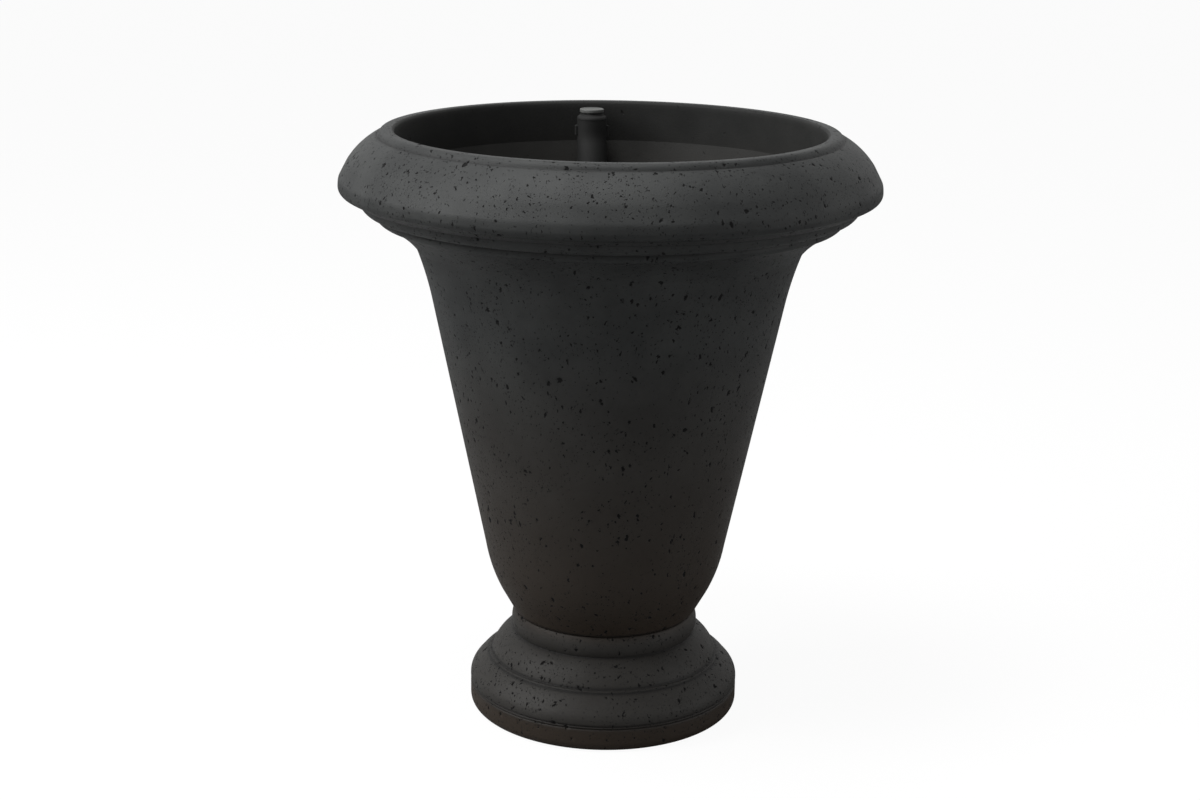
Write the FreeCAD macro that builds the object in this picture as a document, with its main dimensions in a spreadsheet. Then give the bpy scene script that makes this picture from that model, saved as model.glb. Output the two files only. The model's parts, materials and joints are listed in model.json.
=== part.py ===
"""Round urn planter with a water reservoir, as an assembly of separate pieces.

A moulded bowl with a rolled, hollow rim sits in the collar of a hollow, stepped foot.
Four bolts from below hold the two together. Inside the bowl a slotted platform keeps the
soil above the water, a slotted cup draws the water up, and a bent column carries water
down from a capped neck at the rim. The floor has an overflow pipe and a screw plug.

Frame: millimetres, +Z up, origin on the floor at the middle of the foot. The fill column
stands on the +Y side, so the planter is mirror-symmetric about the YZ plane.
"""
import FreeCAD, Part
import math
import os
import re

import Sketcher

# Each size that can be set by itself: name, millimetres (or degrees, or a count).
SIZES = {
    "Whole planter": [
        ("rim_diameter", 558.8),
        ("overall_height", 628.65),
    ],
    "Foot": [
        ("plinth_radius", 145.3),
        ("plinth_height", 25.2),
        ("plinth_edge", 7.8),
        ("plinth_round", 9.0),
        ("line_width", 1.2),
        ("line_depth", 1.6),
        ("line_bead", 1.6),
        ("torus_height", 15.2),
        ("torus_inset", 7.8),
        ("torus_bulge", 1.9),
        ("slope_height", 12.4),
        ("slope_inset", 11.0),
        ("astragal_height", 3.4),
        ("astragal_inset", 2.6),
        ("astragal_notch", 1.5),
        ("apron_height", 25.2),
        ("apron_hollow", 2.3),
        ("apron_step", 1.9),
        ("collar_height", 23.6),
        ("collar_wall", 4.5),
        ("collar_swell", 2.8),
        ("collar_depth", 17.0),
        ("foot_wall", 4.5),
        ("foot_plate", 6.0),
        ("base_flange", 5.0),
        ("base_flange_width", 20.0),
        ("rib_count", 8),
        ("rib_thickness", 4.0),
        ("rib_start_radius", 50.0),
        ("rib_start_depth", 10.0),
        ("weep_width", 24.0),
        ("weep_height", 3.5),
    ],
    "Bowl": [
        ("neck_radius", 98.0),
        ("spigot_fit", 0.3),
        ("collar_gap", 0.4),
        ("bowl_wall", 4.5),
        ("bowl_floor", 5.0),
        ("floor_round", 6.0),
        ("belly_height", 26.2),
        ("belly_spread", 14.7),
        ("round_height", 49.3),
        ("round_spread", 16.2),
        ("round_bulge", 2.0),
        ("flare_height", 57.5),
        ("flare_spread", 15.2),
        ("flare_hollow", 1.2),
        ("cavetto_height", 28.2),
        ("cavetto_spread", 35.0),
        ("cavetto_hollow", 5.5),
        ("bead_height", 8.9),
        ("bead_spread", 2.3),
        ("bead_bulge", 1.8),
        ("step_height", 2.4),
        ("ring_height", 9.4),
        ("ring_step", 13.1),
        ("ring_inset", 29.6),
        ("ring_spread", 6.0),
        ("band_step", 0.7),
        ("band_overhang", 20.4),
        ("roll_inset", 5.4),
        ("under_height", 10.7),
        ("roll_low", 6.5),
        ("roll_high", 3.7),
        ("roll_high_inset", 1.0),
        ("slope_rise", 15.8),
        ("slope_run", 8.3),
        ("crown_rise", 26.6),
        ("crown_bulge", 2.6),
        ("rim_width", 57.9),
        ("mouth_depth", 44.0),
        ("mouth_draft", 0.5),
        ("lip_width", 16.1),
        ("lip_groove_width", 2.9),
        ("lip_groove_rise", 1.6),
        ("lip_rise", 4.65),
        ("lip_outer_round", 7.1),
        ("lip_inner_round", 3.5),
        ("vent_radius", 3.0),
    ],
    "Bolted joint": [
        ("bolt_count", 4),
        ("bolt_circle", 62.0),
        ("bolt_angle", 45.0),
        ("bolt_radius", 3.0),
        ("bolt_length", 20.0),
        ("bolt_head_flats", 10.0),
        ("bolt_head_height", 4.0),
        ("bolt_clearance", 0.5),
        ("thread_gap", 0.05),
        ("bolt_flange_radius", 9.0),
        ("bolt_flange_height", 1.6),
        ("insert_wall", 2.0),
        ("insert_length", 14.0),
        ("boss_wall", 6.0),
        ("boss_cap", 4.0),
    ],
    "Drain": [
        ("drain_bore", 15.0),
        ("bush_wall", 4.0),
        ("bush_fit", 0.2),
        ("bush_flange", 7.0),
        ("bush_flange_height", 3.0),
        ("gasket_thickness", 2.0),
        ("drain_nut_flats", 50.0),
        ("drain_nut_height", 8.0),
        ("drain_opening_gap", 3.0),
        ("plug_fit", 0.3),
        ("plug_stem", 11.0),
        ("plug_core_wall", 3.0),
        ("seal_section", 1.75),
        ("seal_gap", 0.1),
        ("plug_head_overhang", 4.0),
        ("plug_head_height", 7.0),
        ("plug_grip_height", 10.0),
        ("plug_grip_width", 6.0),
        ("plug_scallops", 12),
        ("plug_scallop_radius", 2.2),
    ],
    "Overflow": [
        ("overflow_offset", 60.0),
        ("overflow_radius", 9.0),
        ("overflow_wall", 2.4),
        ("overflow_flange", 6.0),
        ("overflow_flange_height", 3.0),
        ("overflow_top_gap", 4.0),
        ("overflow_tail", 14.0),
        ("overflow_nut_flats", 26.0),
        ("overflow_nut_height", 6.0),
        ("overflow_fit", 0.2),
    ],
    "Soil platform": [
        ("reservoir_depth", 87.0),
        ("platform_thickness", 4.0),
        ("platform_gap", 0.3),
        ("platform_rim", 14.0),
        ("platform_rim_wall", 3.0),
        ("slot_count", 12),
        ("slot_width", 3.6),
        ("slot_length", 22.0),
        ("inner_slot_radius", 52.0),
        ("outer_slot_radius", 86.0),
        ("cup_mouth", 38.0),
        ("cup_wall", 3.0),
        ("cup_taper", 5.0),
        ("cup_flange", 9.0),
        ("cup_flange_height", 3.0),
        ("cup_skirt", 15.0),
        ("cup_slot_count", 10),
        ("cup_slot_height", 42.0),
        ("cup_arch_width", 14.0),
        ("cup_arch_height", 9.0),
        ("socket_height", 12.0),
        ("socket_wall", 3.0),
        ("socket_fit", 0.3),
    ],
    "Fill column": [
        ("tube_radius", 16.5),
        ("tube_wall", 2.5),
        ("tube_stand_off", 5.5),
        ("tube_top_drop", 17.65),
        ("upper_elbow_drop", 38.65),
        ("middle_elbow_inset", 27.2),
        ("middle_elbow_drop", 15.5),
        ("lower_elbow_rise", 48.0),
        ("tube_foot_radius", 102.0),
        ("elbow_radius", 50.0),
        ("neck_spigot", 12.0),
        ("neck_fit", 0.1),
        ("neck_bore", 10.3),
        ("neck_edge", 1.0),
        ("shoulder_height", 4.0),
        ("shoulder_inset", 3.3),
        ("neck_ring_height", 1.6),
        ("cap_fit", 0.3),
        ("cap_seat_gap", 0.3),
        ("cap_gasket_height", 1.4),
        ("cap_gasket_width", 2.3),
        ("cap_radius", 13.5),
        ("cap_height", 3.7),
        ("cap_round", 0.8),
        ("cap_rim_width", 2.6),
        ("cap_dish", 0.6),
        ("cap_stem", 14.3),
        ("cap_stem_wall", 2.0),
        ("cap_skin", 2.2),
    ],
    "Column clip": [
        ("clip_fit", 0.1),
        ("clip_arm", 2.3),
        ("clip_arm_height", 10.0),
        ("clip_wrap", 5.0),
        ("clip_plate_width", 22.0),
        ("clip_plate_thickness", 3.0),
        ("clip_plate_height", 27.0),
        ("clip_plate_rise", 1.0),
        ("clip_web_width", 12.0),
        ("screw_inset", 4.5),
        ("screw_radius", 2.0),
        ("screw_head_radius", 3.6),
        ("screw_head_height", 1.6),
        ("screw_length", 12.0),
        ("screw_point", 1.5),
        ("screw_gap", 0.1),
    ],
}

# Sizes that follow from the others. Heights of the foot count from the floor, and
# heights named _level count from the seat, the plane where the bowl stands on the foot.
DERIVED = [
    ("torus_foot", "plinth_height + 2 * line_width + line_bead"),
    ("torus_top", "torus_foot + torus_height"),
    ("slope_top", "torus_top + slope_height"),
    ("apron_foot", "slope_top + astragal_height"),
    ("apron_top", "apron_foot + apron_height"),
    ("foot_height", "apron_top + collar_height"),
    ("seat_height", "foot_height - collar_depth"),
    ("plate_under", "seat_height - foot_plate"),
    ("torus_radius", "plinth_radius - torus_inset"),
    ("slope_radius", "torus_radius - slope_inset"),
    ("astragal_radius", "slope_radius - astragal_notch"),
    ("apron_foot_radius", "astragal_radius - astragal_inset"),
    ("collar_bore", "neck_radius - 1.2 * collar_wall"),
    ("collar_radius", "neck_radius - collar_wall / 5"),
    ("apron_top_radius", "neck_radius + apron_step"),
    ("spigot_radius", "collar_bore - spigot_fit"),
    ("rim_radius", "rim_diameter / 2"),
    ("mouth_radius", "rim_radius - rim_width"),
    ("band_height", "step_height + ring_height + band_step + under_height"),
    ("roll_height", "roll_low + roll_high + slope_rise + crown_rise"),
    ("body_height",
     "overall_height - foot_height - collar_gap - belly_height - round_height"
     " - flare_height - cavetto_height - bead_height - band_height - roll_height"
     " - lip_groove_rise - lip_rise"),
    ("ring_radius", "rim_radius - ring_inset"),
    ("bead_radius", "ring_radius - ring_step"),
    ("cavetto_radius", "bead_radius - bead_spread"),
    ("flare_radius", "cavetto_radius - cavetto_spread"),
    ("body_radius", "flare_radius - flare_spread"),
    ("shoulder_level", "collar_depth + collar_gap"),
    ("belly_level", "shoulder_level + belly_height"),
    ("round_level", "belly_level + round_height"),
    ("body_level", "round_level + body_height"),
    ("flare_level", "body_level + flare_height"),
    ("cavetto_level", "flare_level + cavetto_height"),
    ("bead_level", "cavetto_level + bead_height"),
    ("ring_level", "bead_level + step_height"),
    ("band_level", "ring_level + ring_height"),
    ("under_level", "band_level + band_step + under_height"),
    ("widest_level", "under_level + roll_low"),
    ("roll_level", "widest_level + roll_high"),
    ("slope_level", "roll_level + slope_rise"),
    ("crown_level", "slope_level + crown_rise"),
    ("lip_level", "crown_level + lip_groove_rise + lip_rise"),
    ("mouth_level", "lip_level - mouth_depth"),
    ("belly_radius", "neck_radius + belly_spread"),
    ("round_radius", "belly_radius + round_spread"),
    ("lip_radius", "mouth_radius + lip_width"),
    ("body_slope", "(body_radius - round_radius) / body_height"),
    ("round_inner_radius", "round_radius - bowl_wall"),
    ("flare_inner_radius", "flare_radius - bowl_wall * 1.1"),
    ("flare_inner_level", "flare_level - bowl_wall * 0.8"),
    ("mouth_foot_radius", "mouth_radius - mouth_draft"),
    ("throat_slope",
     "(mouth_foot_radius - flare_inner_radius) / (mouth_level - flare_inner_level)"),
    ("chamber_level",
     "flare_level + cavetto_height / 2 + cavetto_hollow + bowl_wall"),
    ("chamber_radius",
     "flare_inner_radius + (chamber_level - flare_inner_level) * throat_slope"
     " + 1.3 * bowl_wall"),
    ("vent_offset", "(chamber_radius + cavetto_radius) / 2"),
    ("boss_radius", "bolt_radius + insert_wall + boss_wall"),
    ("bush_radius", "drain_bore + bush_wall"),
    ("bush_length", "bowl_floor + drain_nut_height"),
    ("bush_foot", "seat_height - drain_nut_height"),
    ("drain_opening", "drain_nut_flats / 2 / cos(30) + drain_opening_gap"),
    ("floor_height", "seat_height + bowl_floor"),
    ("platform_height", "floor_height + reservoir_depth"),
    ("platform_level", "bowl_floor + reservoir_depth"),
    ("tube_axis_radius", "mouth_radius - tube_stand_off - tube_radius"),
    ("tube_bore", "tube_radius - tube_wall"),
    ("tube_top", "seat_height + lip_level - tube_top_drop"),
    ("tube_foot", "platform_height + platform_thickness"),
    ("cap_seat", "neck_edge + shoulder_height + neck_ring_height + cap_seat_gap"),
    ("cap_under", "cap_seat + cap_gasket_height"),
    ("stem_radius", "neck_bore - cap_fit"),
    ("clip_foot", "seat_height + mouth_level + clip_plate_rise"),
    ("clip_arm_foot", "clip_foot + (clip_plate_height - clip_arm_height) / 2"),
    ("clip_plate_front", "mouth_foot_radius - clip_plate_thickness"),
    ("lower_screw_height", "clip_foot + screw_inset"),
    ("screw_spacing", "clip_plate_height - 2 * screw_inset"),
    ("bolt_foot", "plate_under - bolt_flange_height - bolt_head_height"),
]

HORIZONTAL, VERTICAL = -1, -2       # a sketch's own axes
START, END, CENTRE = 1, 2, 3        # the places on an edge that a constraint names
ALIASES = {name for rows in SIZES.values() for name, _ in rows}
ALIASES |= {name for name, _ in DERIVED}

doc = FreeCAD.newDocument("urn_planter")


def fill_sheet():
    """Write every size and every derived size into the sheet, with its alias."""
    sheet = doc.addObject("Spreadsheet::Sheet", "sizes")
    row = 0
    for group, rows in SIZES.items():
        row += 1
        sheet.set("A%d" % row, group)
        for name, value in rows:
            row += 1
            sheet.set("A%d" % row, name.replace("_", " "))
            sheet.set("B%d" % row, str(value))
            sheet.setAlias("B%d" % row, name)
    for name, formula in DERIVED:
        row += 1
        sheet.set("A%d" % row, name.replace("_", " "))
        sheet.set("B%d" % row, "=" + formula)
        sheet.setAlias("B%d" % row, name)
    doc.recompute()
    return sheet


def bound(text):
    """Give an expression in which every size is read from the sheet."""
    return re.sub(r"[a-z_]+", lambda word: "sizes." + word[0] if word[0] in ALIASES
                  else word[0], text)


def number(text):
    """Work out an expression of sizes."""
    return float(SHEET.evalExpression(bound(text)))


# ---------------------------------------------------------------- bodies and sketches

def new_body(name, height="0", offset="0"):
    """Start a sub-part whose own origin lies at this height, and this far along +Y."""
    body = doc.addObject("PartDesign::Body", name)
    body.Label = name
    body.AllowCompound = True
    body.setExpression(
        "Placement",
        "placement(vector(0; %s; %s); rotation(vector(0; 0; 1); 0))"
        % (bound(offset), bound(height)))
    return body


def new_sketch(body, name, plane="XZ_Plane", height=None, turn=None):
    """Attach a sketch to one of the body's origin planes, raised or turned about Z."""
    sketch = body.newObject("Sketcher::SketchObject", name)
    support = [item for item in body.Origin.OriginFeatures if item.Role == plane][0]
    sketch.AttachmentSupport = [(support, "")]
    sketch.MapMode = "FlatFace"
    if turn:
        upright = FreeCAD.Vector(0, 1, 0)
        sketch.AttachmentOffset = FreeCAD.Placement(
            FreeCAD.Vector(), FreeCAD.Rotation(upright, number(turn)))
    if height:
        sketch.setExpression("AttachmentOffset.Base.z", bound(height))
    return sketch


def fix(sketch, edge, place, x, y):
    """Tie a point of an edge to its two coordinates."""
    for text, kind, axis in ((x, "DistanceX", VERTICAL), (y, "DistanceY", HORIZONTAL)):
        if text == "0":
            sketch.addConstraint(Sketcher.Constraint("PointOnObject", edge, place, axis))
            continue
        index = sketch.addConstraint(
            Sketcher.Constraint(kind, HORIZONTAL, START, edge, place, number(text)))
        sketch.setExpression("Constraints[%d]" % index, bound(text))


def set_radius(sketch, edge, text):
    """Tie an arc's or a circle's radius to an expression."""
    index = sketch.addConstraint(Sketcher.Constraint("Radius", edge, number(text)))
    sketch.setExpression("Constraints[%d]" % index, bound(text))


def circle(sketch, x, y, radius):
    """Draw a circle."""
    centre = FreeCAD.Vector(number(x), number(y), 0)
    ring = Part.Circle(centre, FreeCAD.Vector(0, 0, 1), number(radius))
    edge = sketch.addGeometry(ring, False)
    set_radius(sketch, edge, radius)
    fix(sketch, edge, CENTRE, x, y)


def outline(sketch, corners):
    """Draw a closed outline through corners (x, y) or (x, y, bulge).

    A bulge is how far the edge that arrives at the corner swells to the right of the
    way it runs, so it is outwards on an outline drawn anticlockwise. An edge with no
    bulge is straight.
    """
    points = [FreeCAD.Vector(number(item[0]), number(item[1]), 0) for item in corners]
    ends = []
    first_edge = sketch.GeometryCount
    for index, corner in enumerate(corners):
        following = (index + 1) % len(corners)
        start, end = points[index], points[following]
        bulge = corners[following][2] if len(corners[following]) > 2 else None
        if bulge is None:
            sketch.addGeometry(Part.LineSegment(start, end), False)
            ends.append((START, END))
            continue
        rise = number(bulge)
        chord = end - start
        aside = FreeCAD.Vector(chord.y, -chord.x, 0).normalize()
        radius = chord.Length ** 2 / (8 * abs(rise)) + abs(rise) / 2
        centre = (start + end) / 2 + aside * (rise - math.copysign(radius, rise))
        first, last = (start, end) if rise > 0 else (end, start)
        angles = [math.atan2(p.y - centre.y, p.x - centre.x) for p in (first, last)]
        if angles[1] < angles[0]:
            angles[1] += 2 * math.pi
        ring = Part.Circle(centre, FreeCAD.Vector(0, 0, 1), radius)
        edge = sketch.addGeometry(Part.ArcOfCircle(ring, *angles), False)
        ends.append((START, END) if rise > 0 else (END, START))
        across = "((%s) - (%s))^2 + ((%s) - (%s))^2" % (
            corners[following][0], corner[0], corners[following][1], corner[1])
        set_radius(sketch, edge, "(%s) / (8 * abs(%s)) + abs(%s) / 2"
                   % (across, bulge, bulge))
    for index, corner in enumerate(corners):
        edge, following = first_edge + index, first_edge + (index + 1) % len(corners)
        sketch.addConstraint(Sketcher.Constraint(
            "Coincident", edge, ends[index][1], following,
            ends[(index + 1) % len(corners)][0]))
        fix(sketch, edge, ends[index][0], corner[0], corner[1])


def rectangle(sketch, left, right, low, high):
    """Draw a rectangle between two x and two y values."""
    outline(sketch, [(left, low), (right, low), (right, high), (left, high)])


def hexagon(sketch, x, y, flats):
    """Draw a hexagon about a point, given its width across the flats."""
    corners = []
    for side in range(6):
        angle = 60 * side
        reach = "(%s) / 2 / cos(30)" % flats
        across = "%s + %s * cos(%d)" % (x, reach, angle)
        along = "%s + %s * sin(%d)" % (y, reach, angle)
        corners.append((across, along))
    outline(sketch, corners)


def bent_path(sketch, corners, bend):
    """Draw straight runs through the corners, joined by arcs of one radius."""
    radius = number(bend)
    points = [FreeCAD.Vector(number(x), number(y), 0) for x, y in corners]
    start = points[0]
    runs = []
    elbows = []
    for before, corner, after in zip(points, points[1:], points[2:]):
        arriving = (corner - before).normalize()
        leaving = (after - corner).normalize()
        turn = arriving.getAngle(leaving)
        reach = radius * math.tan(turn / 2)
        side = 1 if arriving.cross(leaving).z > 0 else -1
        first, last = corner - arriving * reach, corner + leaving * reach
        centre = first + FreeCAD.Vector(-arriving.y, arriving.x, 0) * (side * radius)
        runs.append((start, first))
        elbows.append((centre, first, last, side))
        start = last
    runs.append((start, points[-1]))
    lines = [sketch.addGeometry(Part.LineSegment(*run), False) for run in runs]
    for index, (centre, first, last, side) in enumerate(elbows):
        ends = (first, last) if side > 0 else (last, first)
        angles = [math.atan2(p.y - centre.y, p.x - centre.x) for p in ends]
        if angles[1] < angles[0]:
            angles[1] += 2 * math.pi
        ring = Part.Circle(centre, FreeCAD.Vector(0, 0, 1), radius)
        arc = sketch.addGeometry(Part.ArcOfCircle(ring, *angles), False)
        near, far = (START, END) if side > 0 else (END, START)
        sketch.addConstraint(Sketcher.Constraint("Tangent", lines[index], END, arc, near))
        sketch.addConstraint(
            Sketcher.Constraint("Tangent", arc, far, lines[index + 1], START))
        set_radius(sketch, arc, bend)
        corner = sketch.addGeometry(Part.Point(points[index + 1]), True)
        for line in (lines[index], lines[index + 1]):
            sketch.addConstraint(Sketcher.Constraint("PointOnObject", corner, START, line))
        fix(sketch, corner, START, *corners[index + 1])
    fix(sketch, lines[0], START, *corners[0])
    fix(sketch, lines[-1], END, *corners[-1])


# ---------------------------------------------------------------- features

def revolve(body, name, sketch):
    """Turn a half section about the sketch's upright axis into a solid."""
    feature = body.newObject("PartDesign::Revolution", name)
    feature.Profile = sketch
    feature.ReferenceAxis = (sketch, ["V_Axis"])
    feature.Angle = 360
    doc.recompute()
    return feature


def cut_volume(body, name, before):
    """Stop if a cut has taken nothing away."""
    if body.Shape.Volume > before - 1e-3:
        raise ValueError(name + " cuts nothing")


def groove(body, name, sketch):
    """Turn a half section about the sketch's upright axis and cut it away."""
    before = body.Shape.Volume
    feature = body.newObject("PartDesign::Groove", name)
    feature.Profile = sketch
    feature.ReferenceAxis = (sketch, ["V_Axis"])
    feature.Angle = 360
    doc.recompute()
    cut_volume(body, name, before)
    return feature


def pad(body, name, sketch, length, both_ways=False):
    """Raise a sketch by a length, along its normal or half to each side."""
    feature = body.newObject("PartDesign::Pad", name)
    feature.Profile = sketch
    feature.setExpression("Length", bound(length))
    feature.Midplane = both_ways
    doc.recompute()
    return feature


def pocket(body, name, sketch, length, upwards=True):
    """Cut a sketch away, upwards from it, or against its normal."""
    before = body.Shape.Volume
    feature = body.newObject("PartDesign::Pocket", name)
    feature.Profile = sketch
    feature.Reversed = upwards
    feature.setExpression("Length", bound(length))
    doc.recompute()
    cut_volume(body, name, before)
    return feature


def ring_of(body, name, features, count):
    """Repeat features round the body's upright axis."""
    axis = [item for item in body.Origin.OriginFeatures if item.Role == "Z_Axis"][0]
    pattern = body.newObject("PartDesign::PolarPattern", name)
    pattern.Originals = features
    pattern.Axis = (axis, [""])
    pattern.Angle = 360
    pattern.setExpression("Occurrences", bound(count))
    body.Tip = pattern
    doc.recompute()
    return pattern


def bolt_place():
    """Give the first bolt's place on the bolt circle."""
    return "bolt_circle * cos(bolt_angle)", "bolt_circle * sin(bolt_angle)"


# ---------------------------------------------------------------- foot

def make_foot():
    """Hollow stepped foot: plinth, beads, torus, apron, collar, seat plate and ribs."""
    body = new_body("foot")
    profile = new_sketch(body, "foot_mouldings")
    second_line = "plinth_height + line_width + line_bead"
    outline(profile, [
        ("0", "0"),
        ("plinth_radius - plinth_edge", "0"),
        ("plinth_radius - plinth_edge / 3", "plinth_round / 3"),
        ("plinth_radius", "plinth_round"),
        ("plinth_radius", "plinth_height"),
        ("plinth_radius - line_depth", "plinth_height + line_width / 2"),
        ("plinth_radius - line_width / 4", "plinth_height + line_width"),
        ("plinth_radius - line_width / 4", second_line),
        ("plinth_radius - line_depth", second_line + " + line_width / 2"),
        ("plinth_radius", "torus_foot"),
        ("torus_radius", "torus_top", "torus_bulge"),
        ("slope_radius", "slope_top"),
        ("astragal_radius", "slope_top + astragal_height / 8"),
        ("astragal_radius", "slope_top + astragal_height * 3 / 4"),
        ("apron_foot_radius + astragal_notch / 4", "apron_foot - astragal_height / 8"),
        ("apron_foot_radius - astragal_notch / 2", "apron_foot"),
        ("apron_foot_radius - astragal_notch / 4", "apron_foot + astragal_height / 4"),
        ("apron_top_radius", "apron_top", "-apron_hollow"),
        ("neck_radius", "apron_top + apron_step / 3"),
        ("collar_radius", "foot_height", "collar_swell"),
        ("collar_bore", "foot_height"),
        ("collar_bore", "seat_height"),
        ("0", "seat_height"),
    ])
    revolve(body, "foot_block", profile)

    inside = new_sketch(body, "foot_inside")
    outline(inside, [
        ("0", "0"),
        ("plinth_radius - foot_wall - base_flange_width", "0"),
        ("plinth_radius - foot_wall - base_flange_width", "base_flange"),
        ("plinth_radius - foot_wall", "base_flange"),
        ("plinth_radius - foot_wall", "torus_foot"),
        ("torus_radius - foot_wall", "torus_top - foot_wall / 2"),
        ("slope_radius - foot_wall", "slope_top - foot_wall / 2"),
        ("apron_top_radius - 1.2 * foot_wall", "plate_under"),
        ("0", "plate_under"),
    ])
    groove(body, "foot_hollow", inside)

    web = new_sketch(body, "rib_outline", turn="180 / rib_count")
    outline(web, [
        ("rib_start_radius", "plate_under + foot_plate / 2"),
        ("rib_start_radius", "plate_under - rib_start_depth"),
        ("slope_radius - foot_wall / 2", "slope_top - foot_wall / 4"),
        ("apron_top_radius - foot_wall / 2", "plate_under"),
        ("apron_top_radius - foot_wall / 2", "plate_under + foot_plate / 2"),
    ])
    rib = pad(body, "rib", web, "rib_thickness", both_ways=True)
    ring_of(body, "ribs", [rib], "rib_count")

    holes = new_sketch(body, "plate_holes", "XY_Plane", "plate_under - 1")
    circle(holes, "0", "0", "drain_opening")
    circle(holes, "0", "-overflow_offset", "overflow_radius + overflow_fit")
    pocket(body, "plate_openings", holes, "foot_plate + 2")
    bolt_hole = new_sketch(body, "bolt_hole_outline", "XY_Plane", "plate_under - 1")
    circle(bolt_hole, *bolt_place(), "bolt_radius + bolt_clearance")
    hole = pocket(body, "bolt_hole", bolt_hole, "foot_plate + 2")
    ring_of(body, "bolt_holes", [hole], "bolt_count")

    weep = new_sketch(body, "weep_outline", "XY_Plane")
    rectangle(weep, "-weep_width / 2", "weep_width / 2",
              "plinth_radius - 2 * base_flange_width", "plinth_radius + 5")
    pocket(body, "weep_notch", weep, "weep_height")
    return body


# ---------------------------------------------------------------- bowl

def make_bowl():
    """Moulded bowl with its rim mouldings, hollow rim, soil space, bosses and holes."""
    body = new_body("bowl", "seat_height")
    profile = new_sketch(body, "bowl_mouldings")
    outline(profile, [
        ("0", "0"),
        ("spigot_radius", "0"),
        ("spigot_radius", "shoulder_level"),
        ("neck_radius", "shoulder_level"),
        ("belly_radius", "belly_level"),
        ("round_radius", "round_level", "round_bulge"),
        ("body_radius", "body_level"),
        ("flare_radius", "flare_level", "-flare_hollow"),
        ("cavetto_radius", "cavetto_level", "-cavetto_hollow"),
        ("bead_radius + bead_bulge / 3", "cavetto_level + bead_height / 2"),
        ("bead_radius", "bead_level"),
        ("ring_radius", "ring_level"),
        ("ring_radius + ring_spread * 2 / 3", "ring_level + ring_height * 3 / 7"),
        ("ring_radius + ring_spread", "band_level"),
        ("rim_radius - band_overhang", "band_level + band_step"),
        ("rim_radius - roll_inset", "under_level"),
        ("rim_radius - roll_inset / 4", "under_level + roll_low / 3"),
        ("rim_radius", "widest_level"),
        ("rim_radius - roll_high_inset", "roll_level"),
        ("rim_radius - roll_high_inset - slope_run", "slope_level"),
        ("lip_radius + lip_groove_width", "crown_level", "crown_bulge"),
        ("lip_radius + lip_groove_width / 3", "crown_level - lip_groove_width / 6"),
        ("lip_radius", "crown_level + lip_groove_rise"),
        ("lip_radius - lip_outer_round * 2 / 5", "lip_level - lip_rise / 4"),
        ("lip_radius - lip_outer_round", "lip_level"),
        ("0", "lip_level"),
    ])
    revolve(body, "bowl_block", profile)

    inside = new_sketch(body, "soil_space_outline")
    outline(inside, [
        ("0", "bowl_floor"),
        ("spigot_radius - bowl_wall - floor_round", "bowl_floor"),
        ("spigot_radius - bowl_wall", "bowl_floor + floor_round"),
        ("spigot_radius - bowl_wall", "shoulder_level"),
        ("neck_radius - bowl_wall", "shoulder_level + bowl_wall"),
        ("belly_radius - bowl_wall", "belly_level + bowl_wall / 2"),
        ("round_inner_radius", "round_level", "round_bulge"),
        ("body_radius - bowl_wall", "body_level"),
        ("flare_inner_radius", "flare_inner_level"),
        ("mouth_foot_radius", "mouth_level"),
        ("mouth_radius", "lip_level - lip_inner_round"),
        ("mouth_radius + lip_inner_round * 0.3", "lip_level - lip_inner_round * 0.3"),
        ("mouth_radius + lip_inner_round", "lip_level"),
        ("mouth_radius + lip_inner_round", "lip_level + 1"),
        ("0", "lip_level + 1"),
    ])
    groove(body, "soil_space", inside)

    hollow = new_sketch(body, "rim_chamber_outline")
    outline(hollow, [
        ("chamber_radius", "chamber_level"),
        ("cavetto_radius - bowl_wall / 2", "cavetto_level + 1.3 * bowl_wall"),
        ("bead_radius - bowl_wall", "bead_level + step_height + bowl_wall"),
        ("ring_radius + ring_spread - bowl_wall", "ring_level + 1.4 * bowl_wall"),
        ("rim_radius - band_overhang - bowl_wall", "band_level + band_step + bowl_wall"),
        ("rim_radius - roll_inset - bowl_wall / 2", "under_level + bowl_wall"),
        ("rim_radius - roll_high_inset - bowl_wall", "widest_level + bowl_wall / 2"),
        ("rim_radius - roll_high_inset - slope_run - bowl_wall",
         "slope_level - bowl_wall / 2"),
        ("lip_radius + lip_groove_width", "crown_level - 1.3 * bowl_wall"),
        ("mouth_radius + bowl_wall", "lip_level - 2 * bowl_wall"),
        ("mouth_foot_radius + bowl_wall", "mouth_level - bowl_wall / 4"),
    ])
    groove(body, "rim_chamber", hollow)

    boss_outline = new_sketch(body, "boss_outline", "XY_Plane", "bowl_floor - 1")
    circle(boss_outline, *bolt_place(), "boss_radius")
    boss = pad(body, "boss", boss_outline, "insert_length + boss_cap - bowl_floor + 1")
    ring_of(body, "bosses", [boss], "bolt_count")
    socket_outline = new_sketch(body, "insert_outline", "XY_Plane")
    circle(socket_outline, *bolt_place(), "bolt_radius + insert_wall")
    socket = pocket(body, "insert_socket", socket_outline, "insert_length")
    ring_of(body, "insert_sockets", [socket], "bolt_count")

    holes = new_sketch(body, "floor_holes", "XY_Plane")
    circle(holes, "0", "0", "bush_radius + bush_fit")
    circle(holes, "0", "-overflow_offset", "overflow_radius + overflow_fit")
    pocket(body, "floor_openings", holes, "bowl_floor + 1")

    vent = new_sketch(body, "vent_outline", "XY_Plane", "flare_level")
    circle(vent, "0", "vent_offset", "vent_radius")
    pocket(body, "vent_hole", vent, "chamber_level - flare_level + 2 * bowl_wall")

    screws = new_sketch(body, "clip_hole_outline")
    for height in ("lower_screw_height", "lower_screw_height + screw_spacing"):
        circle(screws, "0", height + " - seat_height", "screw_radius + screw_gap")
    pocket(body, "clip_holes", screws, "mouth_radius + 2 * bowl_wall", upwards=False)
    return body


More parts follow.
